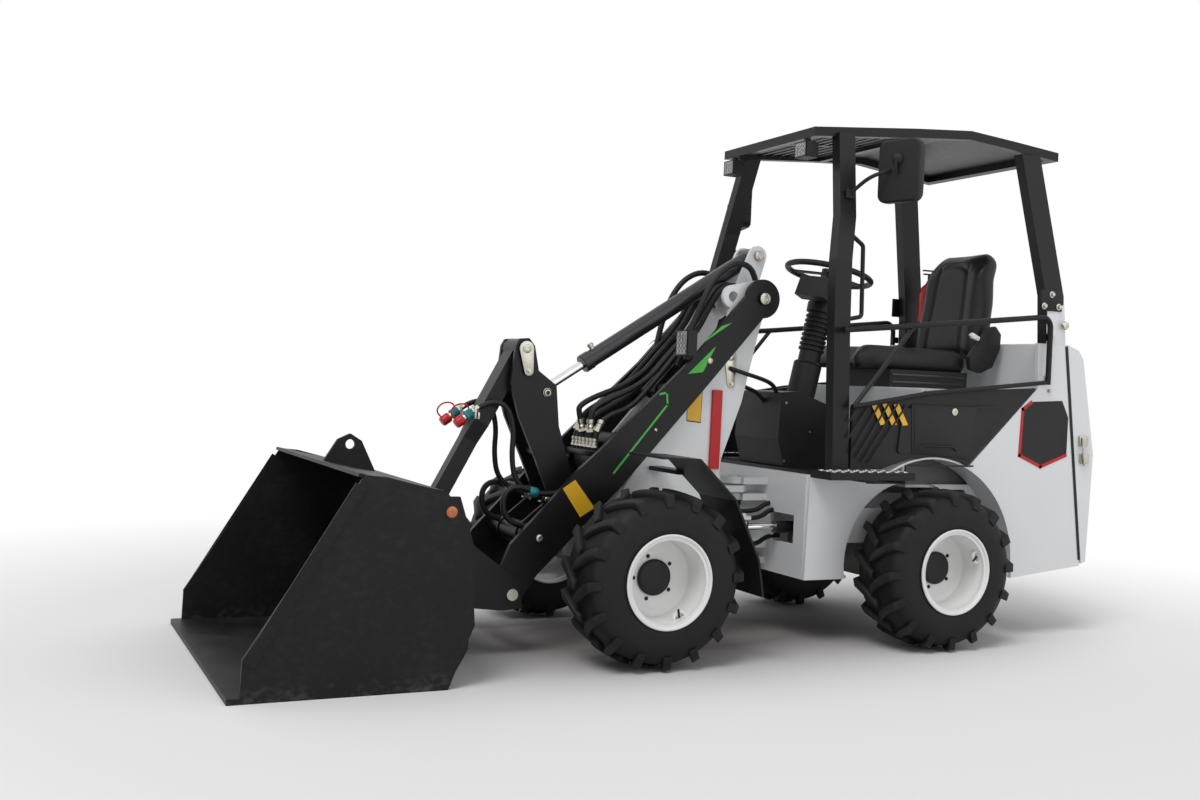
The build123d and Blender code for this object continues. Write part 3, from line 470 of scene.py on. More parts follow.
# %% [markdown]
# A traction tyre is a rounded carcass with bars of rubber that lean forward to the middle of the tread, so that they
# bite and push mud outwards. A spin makes the carcass. One straight bar is made flat, cut into short lengths and
# rounded, and then bent round the tread and over the shoulder as often as it is needed, which keeps all bars alike.

# %% Tyres
WHEELS = (("front_left", 1, 0.0), ("front_right", -1, 0.0), ("rear_left", 1, WHEELBASE), ("rear_right", -1, WHEELBASE))
CARCASS = [(0.0, 0.307), (0.055, 0.3065), (0.095, 0.303), (0.115, 0.292), (0.1245, 0.272), (0.13, 0.246),
           (0.1325, 0.222), (0.1312, 0.205), (0.1322, 0.196), (0.1318, 0.188), (0.1285, 0.18), (0.1285, 0.1525)]
LUGS = 16


def straight_bar():
    """A bar from 0 to 1 along X and up Z, cut into lengths and rounded."""
    bm = bmesh.new()
    bmesh.ops.create_cube(bm, size=1.0, matrix=Matrix.Translation((0.5, 0, 0.5)))
    long_edges = [edge for edge in bm.edges if abs(edge.verts[0].co.x - edge.verts[1].co.x) > 0.5]
    bmesh.ops.subdivide_edges(bm, edges=long_edges, cuts=7, use_grid_fill=True)
    bevelled(bm, [edge for edge in bm.edges if edge.calc_face_angle(0) > 1.0], 0.1)
    return meshed("bar", bm)


def bent(spot, side, turn):
    """Where a corner of the straight bar ends up on the tyre."""
    along, across, high = spot
    low_x, top_x = -0.008 + 0.1385 * along, -0.008 + 0.132 * along
    low_r, top_r = 0.301 - 0.036 * along ** 4, 0.33 - 0.0085 * along ** 2
    x = low_x + (top_x - low_x) * high
    r = low_r + (top_r - low_r) * high
    width = (0.04 - 0.009 * high) * (1 + 0.18 * along)
    lead = 0.055 - 0.118 * along + 0.038 * along ** 2
    angle = turn + (across * width + lead) / TYRE_R
    return Vector((side * x, r * cos(angle), r * sin(angle)))


def tyre(name, side, y):
    centre = at(side * WHEEL_X, y, TYRE_R)
    bm = bmesh.new()
    turned(bm, CARCASS + [(-x, r) for x, r in reversed(CARCASS[1:])], Vector((0, 0, 0)), steps=96, closed=True)
    bar = straight_bar()
    for half in (1, -1):
        for step in range(LUGS):
            turn = 2 * pi / LUGS * (step + (0.25 if half > 0 else -0.25))
            first = len(bm.verts)
            bm.from_mesh(bar)
            bm.verts.ensure_lookup_table()
            for vert in bm.verts[first:]:
                vert.co = bent(vert.co, half, turn)
    bpy.data.meshes.remove(bar)
    tread = bm.verts.layers.float.new("tread")
    for vert in bm.verts:
        vert[tread] = (Vector((0, vert.co.y, vert.co.z)).length - 0.3) / 0.03
    bmesh.ops.translate(bm, verts=bm.verts, vec=centre)
    return piece(f"lugged_tyre_{name}", bm, tyre_finish, f"wheel_{name}", "tyre", f"tyre_{name}", sharp=40)


for name, side, y in WHEELS:
    made = tyre(name, side, y)
print("tyre faces", len(made.data.polygons))

# %% [markdown]
# The rim is one pressed and rolled dish: a flat disc deep inside, a barrel with two steps, and a rolled flange. Its
# profile is spun as one line that starts and ends on the axle, so the dish has both its faces. The hub's cover, the
# nuts and the valve with its guard are pieces of their own.

# %% Rims, hub covers and valves
FLANGE = [(0.03, 0.1455), (0.084, 0.146), (0.094, 0.15), (0.112, 0.1515), (0.121, 0.157), (0.13, 0.1625),
          (0.1375, 0.1655), (0.1397, 0.1695), (0.1385, 0.1738), (0.135, 0.1749), (0.131, 0.1735), (0.13, 0.169),
          (0.13, 0.1522)]


def rim(name, side, y, valve_at):
    centre = at(side * WHEEL_X, y, TYRE_R)
    axis = (side, 0, 0)
    bm = bmesh.new()
    outer = [(0.004, 0.0), (0.004, 0.118), (0.007, 0.13), (0.016, 0.1415)] + FLANGE
    inner = [(-x, r) for x, r in reversed(FLANGE)] + [(-0.02, 0.1415), (-0.01, 0.13), (-0.006, 0.118), (-0.006, 0.0)]
    turned(bm, outer + inner, centre, axis, 72)
    boss = [(-0.004, 0), (-0.004, 0.078), (-0.012, 0.07), (-0.02, 0.062), (-0.0617, 0.062), (-0.0617, 0.0)]
    turned(bm, boss, centre, axis, 40)
    spoke = Vector((0, cos(valve_at), sin(valve_at)))
    foot = centre + Vector((side * 0.1, 0, 0)) + spoke * 0.1505
    across = Vector((0, -sin(valve_at), cos(valve_at)))
    ends = [foot - across * 0.024, foot - across * 0.02 - spoke * 0.022, foot + across * 0.02 - spoke * 0.022,
            foot + across * 0.024]
    tube(bm, ends, 0.0065)
    made = piece(f"dished_rim_{name}", bm, rim_white, f"wheel_{name}", "rim_white", f"rim_{name}", sharp=30)
    bm = bmesh.new()
    cover = [(0.002, 0), (0.002, 0.067), (0.015, 0.067), (0.0195, 0.063), (0.0215, 0.056), (0.0218, 0.03), (0.0225, 0)]
    turned(bm, cover, centre, axis, 48)
    for step in range(5):
        angle = 2 * pi * (step + 0.5) / 5
        spot = centre + Vector((side * 0.004, 0.082 * cos(angle), 0.082 * sin(angle)))
        nut(bm, spot, axis, 0.009)
    turned(bm, [(0, 0), (0, 0.0045), (0.034, 0.0045), (0.038, 0.0035), (0.038, 0)], foot - spoke * 0.004,
           Vector((side, 0, 0)) * 0.5 - spoke, 12)
    piece(f"hub_cover_{name}", bm, black_plastic, f"wheel_{name}", "black_plastic")
    return made


for (name, side, y), valve_at in zip(WHEELS, (-1.13, 0.4, 0.38, 2.2)):
    made = rim(name, side, y, valve_at)
print("rim faces", len(made.data.polygons))

# %% [markdown]
# A loader's seat is foam under stitched vinyl. It could be sculpted, but foam that swells against its cover looks
# more real when it is simulated: a slightly small form is remeshed to even faces, a cloth simulation blows it up with
# a little pressure, and no point may move further than a cap. Vinyl is too stiff for the small folds that this
# leaves, so they are smoothed out, and the sewn channels are pressed in last.

# %% Padded seat
FOAM_VOXEL = 0.007
FOAM_PRESSURE = 4.0
SWELL_FRAMES = 20


def foam(name, bm, form, cap, passes, sewn, body, node):
    """Swells a form into a pad, then presses the sewn lines in."""
    pad = placed(name, meshed(name + "_form", bm))
    remesh = pad.modifiers.new("remesh", "REMESH")
    remesh.mode, remesh.voxel_size = "VOXEL", FOAM_VOXEL
    graph = bpy.context.evaluated_depsgraph_get()
    pad.data = bpy.data.meshes.new_from_object(pad.evaluated_get(graph))
    pad.modifiers.clear()
    for vert in pad.data.vertices:
        vert.co = form(vert.co)
    start = [vert.co.copy() for vert in pad.data.vertices]
    cloth = pad.modifiers.new("cloth", "CLOTH")
    cloth.settings.use_pressure = True
    cloth.settings.uniform_pressure_force = FOAM_PRESSURE
    cloth.settings.effector_weights.gravity = 0.0
    cloth.point_cache.frame_end = SWELL_FRAMES
    for step in range(1, SWELL_FRAMES + 1):
        bpy.context.scene.frame_set(step)
    graph = bpy.context.evaluated_depsgraph_get()
    swollen = [vert.co.copy() for vert in pad.evaluated_get(graph).data.vertices]
    pad.modifiers.clear()
    for vert, old, new in zip(pad.data.vertices, start, swollen):
        move = new - old
        vert.co = old + move * min(1.0, cap / max(move.length, 1e-6))
    bpy.context.scene.frame_set(1)
    bm = bmesh.new()
    bm.from_mesh(pad.data)
    for step in range(passes):
        bmesh.ops.smooth_vert(bm, verts=bm.verts, factor=0.5, use_axis_x=True, use_axis_y=True, use_axis_z=True)
    for vert in bm.verts:
        vert.co = sewn(vert.co)
    bm.to_mesh(pad.data)
    bm.free()
    pad.data.shade_smooth()
    pad.data.materials.clear()
    pad.data.materials.append(vinyl)
    finer = pad.modifiers.new("finer", "SUBSURF")
    finer.levels = finer.render_levels = 1
    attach(pad, body)
    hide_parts(node)
    print(name, "points", len(pad.data.vertices))


def step_up(value, low, high):
    """Rises smoothly from 0 to 1 between two values."""
    share = min(1.0, max(0.0, (value - low) / (high - low)))
    return share * share * (3 - 2 * share)


def seam(distance, width=0.007):
    """A groove that is deepest at distance 0."""
    return exp(-(distance / width) ** 2)


SEAT_TOP = 1.1506


def cushion_form(co):
    """Side bolsters, a rolled front and a slight dip to the back."""
    y = co.y - AXLE_Y
    side = step_up(abs(co.x), 0.13, 0.2)
    lift = 0.012 * side - 0.022 * (1 - step_up(y, 1.1, 1.19)) - 0.006 * (1 - side) * step_up(y, 1.3, 1.6)
    high = step_up(co.z, SEAT_TOP, SEAT_TOP + 0.06)
    return Vector((co.x, co.y, co.z + lift * high))


def cushion_sewn(co):
    """One channel along each bolster and one across the front."""
    y = co.y - AXLE_Y
    high = step_up(co.z, SEAT_TOP + 0.03, SEAT_TOP + 0.06)
    across = seam(abs(co.x) - 0.15) + seam(y - 1.235) * (1 - step_up(abs(co.x), 0.145, 0.155))
    return Vector((co.x, co.y, max(SEAT_TOP, co.z - 0.0065 * high * min(across, 1.0))))


bm = bmesh.new()
block(bm, at(-0.228, 1.118, SEAT_TOP), at(0.228, 1.742, 1.222), 0.028, segments=4)
foam("padded_cushion", bm, cushion_form, 0.024, 6, cushion_sewn, "rear_frame", "seat_cushion")


BACK_LOW, BACK_TALL = 1.19, 0.55


def back_form(co):
    """Narrows to the top, with bolsters at the sides."""
    high = (co.z - BACK_LOW) / BACK_TALL
    narrow = 1.0 - 0.15 * step_up(high, 0.3, 0.95) - 0.24 * step_up(high, 0.82, 1.02) ** 2
    bolster = 0.016 * step_up(abs(co.x), 0.11, 0.19) * (1 - step_up(high, 0.7, 0.95))
    return Vector((co.x * narrow, co.y - bolster * 0.6, co.z))


def back_sewn(co):
    """A channel up each side of the front, joined by an arch."""
    high = (co.z - BACK_LOW) / BACK_TALL
    front_y = 1.772 + 0.105 * high - 0.02
    front = 1 - step_up(co.y - AXLE_Y, front_y + 0.035, front_y + 0.06)
    edge = 0.118 - 0.03 * high
    groove = seam(abs(co.x) - edge, 0.008) * step_up(high, 0.08, 0.12) * (1 - step_up(high, 0.8, 0.86))
    arch = seam(high - 0.84 + 6.0 * co.x * co.x, 0.02) * (1 - step_up(abs(co.x), edge - 0.005, edge + 0.005))
    return Vector((co.x, co.y + 0.008 * front * min(1.0, groove + arch), co.z))


bm = bmesh.new()
BACK = [(1.779, 1.196), (1.809, 1.196), (1.872, 1.302), (1.932, 1.668), (1.916, 1.722), (1.888, 1.722), (1.832, 1.634),
        (1.779, 1.252)]
plate(bm, BACK, -0.226, 0.226)
softened(bm, bm.verts[:], 0.02, 3)
foam("padded_backrest", bm, back_form, 0.016, 30, back_sewn, "rear_frame", "seat_backrest")

# %% [markdown]
# Hydraulic hoses are steel-braided rubber: stiff, evenly round and never kinked, so each follows a smooth spline
# through few points. Those that pass the boom's pivot are held by the front frame at one end and by the boom at the
# other; their mesh rides on neither body.

# %% Hoses over the boom pivot
HOSE_R = 0.0115


def hose(name, routes, finish, body, radius=HOSE_R):
    bm = bmesh.new()
    for route in routes:
        tube(bm, [at(*place) for place in route], radius)
    return piece(name, bm, finish, body, "black_plastic", sharp=60)


bundle = []
for x, rise, reach in ((-0.088, 0.01, 0.02), (-0.052, -0.004, -0.05), (-0.014, 0.016, -0.14), (0.024, -0.01, -0.02),
                       (0.06, 0.006, -0.1), (0.094, -0.012, 0.04)):
    bundle.append([(x * 0.7, 0.585, 1.47), (x * 0.8, 0.52, 1.475 + rise), (x, 0.455, 1.39 + rise),
                   (x, 0.395, 1.275 + rise), (x, 0.3, 1.175 + rise), (x, 0.18, 1.035 + rise),
                   (x, 0.06 + reach, 0.945 + rise * 0.5), (x, -0.03 + reach * 0.3, 0.9), (x, -0.052, 0.83),
                   (x, -0.052, 0.765)])
boom_hoses = hose("boom_hoses", bundle, hose_rubber, None)
at(0, 0.58, 1.47)
at(0, 0.4, 1.28)
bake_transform(boom_hoses)
tower_loops = hose("tower_loops", [
    [(0.105, 0.3, 1.12), (0.118, 0.36, 1.29), (0.12, 0.44, 1.48), (0.118, 0.54, 1.56), (0.11, 0.63, 1.555),
     (0.1, 0.672, 1.48), (0.096, 0.69, 1.4)],
    [(-0.1, 0.3, 1.12), (-0.112, 0.33, 1.29), (-0.112, 0.4, 1.46), (-0.108, 0.5, 1.535),
     (-0.1, 0.6, 1.52), (-0.095, 0.65, 1.44), (-0.092, 0.69, 1.36)],
], hose_rubber, None, 0.0125)
at(0, 0.62, 1.54)
at(0, 0.38, 1.3)
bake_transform(tower_loops)
print("hoses over the pivot", len(bundle) + 2)

# %% [markdown]
# The lever and the link swing on the boom, so the hoses that feed the quick couplings on the link hang in a loop
# from it and run to the lever's foot, where the swing hardly moves them.

# %% Hoses and couplings on the link
drops = []
for side in (1, -1):
    x = 0.082 * side
    drops.append([(x, -0.545, 0.922), (x, -0.5, 0.95), (x * 1.1, -0.43, 0.94), (x * 1.15, -0.398, 0.85),
                  (x * 1.15, -0.405, 0.74), (x * 1.15, -0.385, 0.64), (x * 1.1, -0.3, 0.585), (x, -0.215, 0.56)])
drop_hoses = hose("link_hoses", drops, hose_rubber, None, 0.0105)
at(0, -0.5, 0.95)
at(0, -0.33, 0.62)
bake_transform(drop_hoses)

red_bm, teal_bm, zinc_bm = bmesh.new(), bmesh.new(), bmesh.new()
nose = Vector((0, -0.8, -0.6))
for side in (1, -1):
    root = at(0.082 * side, -0.56, 0.912)
    turned(zinc_bm, [(-0.022, 0), (-0.022, 0.012), (-0.004, 0.012), (-0.004, 0.015), (0.012, 0.015), (0.012, 0)],
           root, nose, 6)
    turned(teal_bm, [(0.008, 0), (0.008, 0.016), (0.014, 0.021), (0.018, 0.0185), (0.024, 0.021), (0.028, 0.0185),
                     (0.034, 0.021), (0.04, 0.021), (0.043, 0.017), (0.043, 0)], root, nose, 20)
    turned(zinc_bm, [(0.041, 0), (0.041, 0.013), (0.056, 0.013), (0.056, 0)], root, nose, 20)
    turned(red_bm, [(0.052, 0), (0.052, 0.019), (0.06, 0.0205), (0.084, 0.0195), (0.09, 0.017), (0.091, 0)],
           root, nose, 20)
    cap = root + nose * 0.078
    lift = Vector((0, -0.6, 0.8))
    tube(red_bm, [cap + lift * 0.014, cap + lift * 0.046 + nose * 0.012, cap + lift * 0.064 - nose * 0.028,
                  root + lift * 0.04 + nose * 0.008, root + lift * 0.02 + nose * 0.012], 0.0032)
    block(zinc_bm, root + Vector((-0.02, -0.004, -0.03)), root + Vector((0.02, 0.004, 0.018)), 0.0015)
block(zinc_bm, at(-0.095, -0.548, 0.88), at(0.095, -0.54, 0.906), 0.0015)
piece("coupling_caps", red_bm, red_paint, "tilt_link", "red_paint")
piece("coupling_bodies", teal_bm, teal_plastic, "tilt_link", "teal_plastic")
piece("coupling_fittings", zinc_bm, pin_zinc, "tilt_link", "pin_zinc")

# %% [markdown]
# Low on the boom, two more couplings wait for a tool that needs oil. Short hoses loop from them to the boom's foot.

# %% Low couplings
low_bm, teal_bm = bmesh.new(), bmesh.new()
for side in (1, -1):
    x = 0.118 * side
    root = at(x, -0.3, 0.6)
    turned(teal_bm, [(0, 0), (0, 0.016), (0.006, 0.02), (0.03, 0.02), (0.036, 0.016), (0.036, 0)], root,
           (0, -1, 0.25), 20)
    tube(low_bm, [at(x, -0.334, 0.612), at(x, -0.385, 0.632), at(x, -0.44, 0.6), at(x, -0.44, 0.52),
                  at(x, -0.38, 0.47), at(x, -0.3, 0.47)], HOSE_R)
    tube(low_bm, [at(x, -0.302, 0.6), at(x, -0.22, 0.59), at(x, -0.14, 0.64), at(x, -0.06, 0.74),
                  at(x * 0.9, 0.04, 0.84)], HOSE_R)
piece("low_couplings", teal_bm, teal_plastic, "boom", "teal_plastic")
piece("low_hoses", low_bm, hose_rubber, "boom", "black_plastic", sharp=60)

# %% [markdown]
# Hoses don't end in the air. A steel plate between the boom's arms carries their ends, each with a zinc collar and
# a hexagon. A spline of order three touches the middle of every leg of its route and runs along it there, so a
# collar that is put at the middle of a leg always sits true on its hose.

# %% Hose ends and collars
def collar(bm, a, b, radius, length=0.03):
    """A crimped collar with a hexagon, at the middle of a leg of a route."""
    middle, axis = (a + b) / 2, (b - a).normalized()
    half = length / 2
    ribbed = [(-half, 0), (-half, radius), (-half * 0.4, radius), (-half * 0.3, radius * 0.88), (0, radius * 0.88),
              (half * 0.1, radius), (half * 0.6, radius), (half * 0.6, 0)]
    turned(bm, ribbed, middle, axis, 16)
    turned(bm, [(half * 0.55, 0), (half * 0.55, radius * 1.18), (half, radius * 1.18), (half, 0)], middle, axis, 6)


zinc_bm = bmesh.new()
for route in bundle:
    legs = [at(*place) for place in route]
    collar(zinc_bm, legs[-3], legs[-2], HOSE_R * 1.32, 0.05)
    collar(zinc_bm, legs[-2], legs[-1], HOSE_R * 1.3, 0.036)
piece("hose_collars", zinc_bm, pin_zinc, "boom", "pin_zinc")
zinc_bm = bmesh.new()
for route in drops:
    legs = [at(*place) for place in route]
    collar(zinc_bm, legs[-2], legs[-1], HOSE_R * 1.25, 0.034)
piece("link_hose_collars", zinc_bm, pin_zinc, "bell_crank", "pin_zinc")
bm = bmesh.new()
block(bm, at(-0.2045, -0.056, 0.69), at(0.2045, -0.048, 0.77), 0.002)
block(bm, at(-0.12, -0.075, 0.745), at(0.12, -0.03, 0.768), 0.004)
piece("hose_plate", bm, black_paint, "boom", "black_paint")

# %% [markdown]
# Pins are zinc-plated steel. Most are held by a small plate that is welded to the pin's head and bolted to the arm
# beside it, so that the pin can't turn. Each is a turned head, a plate with round ends and a nut.

# %% Pin heads and their plates
def pin_head(bm, x, y, z, radius, side, out=0.006):
    """A turned head on a pin's end, chamfered and sunk in the middle."""
    head = [(-0.004, 0), (-0.004, radius), (out - 0.0015, radius), (out, radius - 0.002), (out + 0.001, radius * 0.45),
            (out - 0.001, radius * 0.4), (out - 0.001, 0)]
    turned(bm, head, at(side * x, y, z), (side, 0, 0), 28)


def flag(bm, x, a, b, big, small, side, thick=0.005):
    """A plate with a large and a small round end, from a pin to its bolt."""
    run = Vector((b[0] - a[0], b[1] - a[1]))
    heading = run.angle_signed(Vector((1, 0))) if run.length else 0.0
    outline = []
    for centre, radius, first in ((a, big, pi / 2), (b, small, -pi / 2)):
        for step in range(9):
            angle = heading + first + pi * step / 8
            outline.append((centre[0] + radius * cos(angle), centre[1] + radius * sin(angle)))
    plate(bm, outline, side * x, side * (x + thick), 0.001)
    nut(bm, at(side * (x + thick), *b), (side, 0, 0), 0.014)


TOWER_PIN = (0.505, 1.166)
boom_bm, lever_bm, tower_bm, tilt_bm = (bmesh.new() for _ in range(4))
for side in (1, -1):
    pin_head(boom_bm, 0.237, *BOOM_PIVOT, 0.024, side)
    pin_head(boom_bm, 0.226, *BOOM_LIFT_EYE, 0.012, side)
    pin_head(boom_bm, 0.2255, *NOSE_TUBE, 0.014, side)
    pin_head(boom_bm, 0.2255, 0.15, 0.86, 0.007, side)
    flag(lever_bm, 0.0925, LEVER_TOP, (-0.347, 1.072), 0.03, 0.019, side)
    pin_head(lever_bm, 0.0975, *LEVER_TOP, 0.017, side)
    pin_head(lever_bm, 0.0855, *LEVER_CYL, 0.019, side)
    flag(tower_bm, 0.1855, TOWER_PIN, (0.511, 1.055), 0.03, 0.017, side)
    pin_head(tower_bm, 0.1905, *TOWER_PIN, 0.016, side)
    pin_head(tilt_bm, 0.0742, *TILT_EAR, 0.021, side)
piece("boom_pin_heads", boom_bm, pin_zinc, "boom", "pin_zinc")
piece("lever_pin_plates", lever_bm, pin_zinc, "bell_crank", "pin_zinc")
piece("tower_pin_plates", tower_bm, pin_zinc, "front_frame", "pin_zinc")
piece("tilt_pin_heads", tilt_bm, pin_zinc, "tilt_barrel", "pin_zinc")

# %% [markdown]
# Coloured stripes are cut from sheet a fraction of a millimetre thick. As geometry they can't slide or blur, and
# they keep their edge in a close view. The yellow plates stay blank, with only their black border.

# %% Stripes and blank plates
def stripe(bm, line, width, x, thick=0.0008):
    """A narrow band along a line of (y, z) points."""
    for a, b in zip(line, line[1:]):
        run = (Vector(b) - Vector(a)).normalized()
        off = Vector((-run.y, run.x)) * width / 2
        ends = [Vector(a) - run * width / 2 + off, Vector(b) + run * width / 2 + off,
                Vector(b) + run * width / 2 - off, Vector(a) - run * width / 2 - off]
        plate(bm, [tuple(end) for end in ends], x, x + (thick if x > 0 else -thick))


def grown(outline, by):
    """An outline whose corners move away from its middle."""
    middle = Vector((sum(p[0] for p in outline), sum(p[1] for p in outline))) / len(outline)
    return [tuple(Vector(p) + (Vector(p) - middle).normalized() * by) for p in outline]


UPPER_GREEN = ((0.336, 1.206), (0.435, 1.288), (0.481, 1.303))
LOWER_GREEN = ((0.355, 1.098), (0.286, 1.088), (0.41, 1.205))
BOOM_PLATE = [(-0.244, 0.63), (-0.191, 0.665), (-0.101, 0.553), (-0.163, 0.515)]
TOWER_PLATE = [(0.311, 1.012), (0.38, 1.022), (0.377, 0.893), (0.312, 0.899)]
green_bm, boom_bm, boom_edge_bm, tower_bm, tower_edge_bm = (bmesh.new() for _ in range(5))
for side in (1, -1):
    x = side * 0.2253
    plate(green_bm, UPPER_GREEN, x, x + side * 0.0008)
    plate(green_bm, LOWER_GREEN, x, x + side * 0.0008)
    stripe(green_bm, [(-0.026, 0.69), (0.199, 0.962), (0.194, 1.01), (0.165, 1.003)], 0.008, x)
    plate(boom_edge_bm, grown(BOOM_PLATE, 0.002), x, x + side * 0.0005)
    plate(boom_bm, grown(BOOM_PLATE, -0.003), x, x + side * 0.001)
    x = side * 0.1853
    plate(tower_edge_bm, grown(TOWER_PLATE, 0.002), x, x + side * 0.0005)
    plate(tower_bm, grown(TOWER_PLATE, -0.003), x, x + side * 0.001)
piece("boom_stripes", green_bm, green_stripe, "boom", "white_paint")
piece("boom_plates", boom_bm, yellow_plate, "boom", "white_paint")
piece("boom_plate_edges", boom_edge_bm, seal_rubber, "boom", "black_plastic")
piece("tower_plates", tower_bm, yellow_plate, "front_frame", "white_paint")
piece("tower_plate_edges", tower_edge_bm, seal_rubber, "front_frame", "black_plastic")

# %% [markdown]
# The battery's covers carry a hatch with a lock and a folding handle, slanted louvre ribs and a yellow warning
# pattern. The badge's place on the white panel is kept bare: a dark field with its red edge.

# %% Battery covers and badge field
BADGE = [(1.793, 1.005), (1.843, 1.033), (2.024, 1.043), (2.064, 0.969), (2.063, 0.801), (1.913, 0.746), (1.783, 0.797)]
HATCH = [(1.183, 1.0), (1.519, 0.998), (1.504, 0.786), (1.194, 0.807)]
LOUVRES = (((0.905, 0.975), (0.872, 0.93)), ((0.96, 0.985), (0.872, 0.862)), ((1.015, 0.999), (0.887, 0.803)),
           ((1.06, 1.0), (0.915, 0.785)), ((1.106, 1.0), (0.945, 0.77)), ((1.153, 0.999), (0.978, 0.764)))
cover_bm, zinc_bm, yellow_bm, field_bm, red_bm = (bmesh.new() for _ in range(5))
for side in (1, -1):
    x = side * 0.5122
    plate(cover_bm, grown(HATCH, 0.004), x, x + side * 0.0022, 0.001)
    plate(cover_bm, grown(HATCH, -0.012), x, x + side * 0.0042, 0.0015)
    for line in LOUVRES:
        stripe(cover_bm, line, 0.007, x, 0.004)
    stripe(cover_bm, [(1.178, 0.752), (1.52, 0.752)], 0.007, x, 0.002)
    stripe(cover_bm, [(1.545, 0.99), (1.68, 0.99)], 0.006, x, 0.002)
    ends = [at(side * 0.5165, 1.225, 0.82), at(side * 0.52, 1.235, 0.838), at(side * 0.5205, 1.3, 0.832),
            at(side * 0.5205, 1.35, 0.832), at(side * 0.52, 1.411, 0.833), at(side * 0.5165, 1.421, 0.815)]
    tube(cover_bm, ends, 0.0045)
    turned(zinc_bm, [(0, 0), (0, 0.015), (0.003, 0.015), (0.004, 0.01), (0.0035, 0.004), (0.001, 0.004), (0.001, 0)],
           at(side * 0.516, 1.406, 0.978), (side, 0, 0), 24)
    for start in (0.975, 1.032, 1.089):
        bar = [(start, 0.999), (start + 0.026, 1.003), (start + 0.078, 0.918), (start + 0.052, 0.914)]
        plate(yellow_bm, bar, x, x + side * 0.0007)
    x = side * 0.5002
    plate(field_bm, BADGE, x, x + side * 0.0012)
    stripe(red_bm, [(1.843, 1.03), (1.797, 1.0), (1.789, 0.8), (1.913, 0.752), (2.058, 0.803)], 0.014, x, 0.002)
piece("cover_details", cover_bm, black_plastic, "rear_frame", "black_plastic")
piece("cover_lock", zinc_bm, pin_zinc, "rear_frame", "pin_zinc")
piece("warning_bars", yellow_bm, yellow_plate, "rear_frame", "white_paint")
piece("badge_field", field_bm, black_plastic, "rear_frame", "black_plastic")
piece("badge_edge", red_bm, red_paint, "rear_frame", "red_paint")

# %% [markdown]
# At the rear corner a white cheek covers the pillar's foot and a bolted bracket holds it. A rubber seal marks the
# edge of the door, whose zinc latch rides on the door.

# %% Rear corner
white_bm, black_bm, zinc_bm, latch_bm = (bmesh.new() for _ in range(4))
CHEEK = [(1.917, 1.284), (2.03, 1.284), (2.012, 1.462), (1.912, 1.458)]
for side in (1, -1):
    block(black_bm, at(side * 0.4985 - 0.003, 1.868, 1.432),
          at(side * 0.4985 + 0.003 + side * 0.004, 1.992, 1.523), 0.002)
    for y, z in ((1.888, 1.452), (1.972, 1.452), (1.93, 1.504)):
        nut(zinc_bm, at(side * 0.5055, y, z), (side, 0, 0), 0.017)
    stripe(black_bm, [(2.034, 1.276), (2.167, 0.345)], 0.012, side * 0.5003, 0.0035)
    plate(white_bm, CHEEK, side * 0.4955, side * 0.5005, 0.002)
    for x, z in ((0.5005, 1.318), (0.5003, 1.085)):
        nut(zinc_bm, at(side * x, 1.945, z), (side, 0, 0), 0.014)
    turned(zinc_bm, [(0.0, 0.01), (0.01, 0.01), (0.012, 0.016), (0.018, 0.019), (0.024, 0.016), (0.026, 0.008),
                     (0.026, 0)], at(side * 0.498, 2.006, 1.372), (side, 0, 0), 20)
for y, z in ((2.13, 0.868), (2.14, 0.79)):
    block(latch_bm, at(0.4995, y, z - 0.022), at(0.5125, y + 0.052, z + 0.022), 0.003)
tube(latch_bm, [at(0.518, 2.14, 0.885), at(0.52, 2.142, 0.84), at(0.52, 2.148, 0.79), at(0.518, 2.156, 0.76)],
     0.005)
piece("pillar_cheeks", white_bm, white_paint, "rear_frame", "white_paint")
piece("pillar_brackets", black_bm, black_paint, "rear_frame", "black_paint")
piece("rear_bolts", zinc_bm, pin_zinc, "rear_frame", "pin_zinc")
piece("door_latch", latch_bm, pin_zinc, "rear_door", "pin_zinc")

# %% [markdown]
# A work lamp is a cast housing with a grid of small round lenses over a bright reflector. The housing stays the CAD
# piece in dark plastic. The reflector, a frame and the ringed lenses go on its face.

# %% Work lamps
LAMP_RIM = 0.006


def lamp_face(low, high, columns, rows, body, name):
    """A frame and a grid of lenses on the front of a lamp."""
    frame_bm, lens_bm = bmesh.new(), bmesh.new()
    front = low.y - 0.001
    block(lens_bm, Vector((low.x + 0.004, low.y - 0.0006, low.z + 0.004)),
          Vector((high.x - 0.004, low.y + 0.001, high.z - 0.004)), 0.0003)
    edge = LAMP_RIM
    for x0, x1, z0, z1 in ((low.x, low.x + edge, low.z, high.z), (high.x - edge, high.x, low.z, high.z),
                           (low.x, high.x, low.z, low.z + edge), (low.x, high.x, high.z - edge, high.z)):
        block(frame_bm, (x0, front, z0), (x1, front + edge, z1), 0.0015)
    step_x, step_z = (high.x - low.x - 2 * edge) / columns, (high.z - low.z - 2 * edge) / rows
    radius = min(step_x, step_z) * 0.42
    for i in range(columns):
        for k in range(rows):
            spot = Vector((low.x + edge + (i + 0.5) * step_x, low.y, low.z + edge + (k + 0.5) * step_z))
            turned(lens_bm, [(-0.001, 0), (-0.001, radius), (0.0012, radius), (0.0008, radius * 0.7),
                             (0.0022, radius * 0.35), (0.0026, 0)], spot, (0, -1, 0), 14)
            ring = [(-0.001, radius), (0.0018, radius * 1.02), (0.0018, radius * 1.14), (-0.001, radius * 1.16)]
            turned(frame_bm, ring, spot, (0, -1, 0), 14, closed=True)
    piece(name + "_frame", frame_bm, black_plastic, body, "black_plastic")
    piece(name + "_lenses", lens_bm, lamp_lens, body, "lamp")


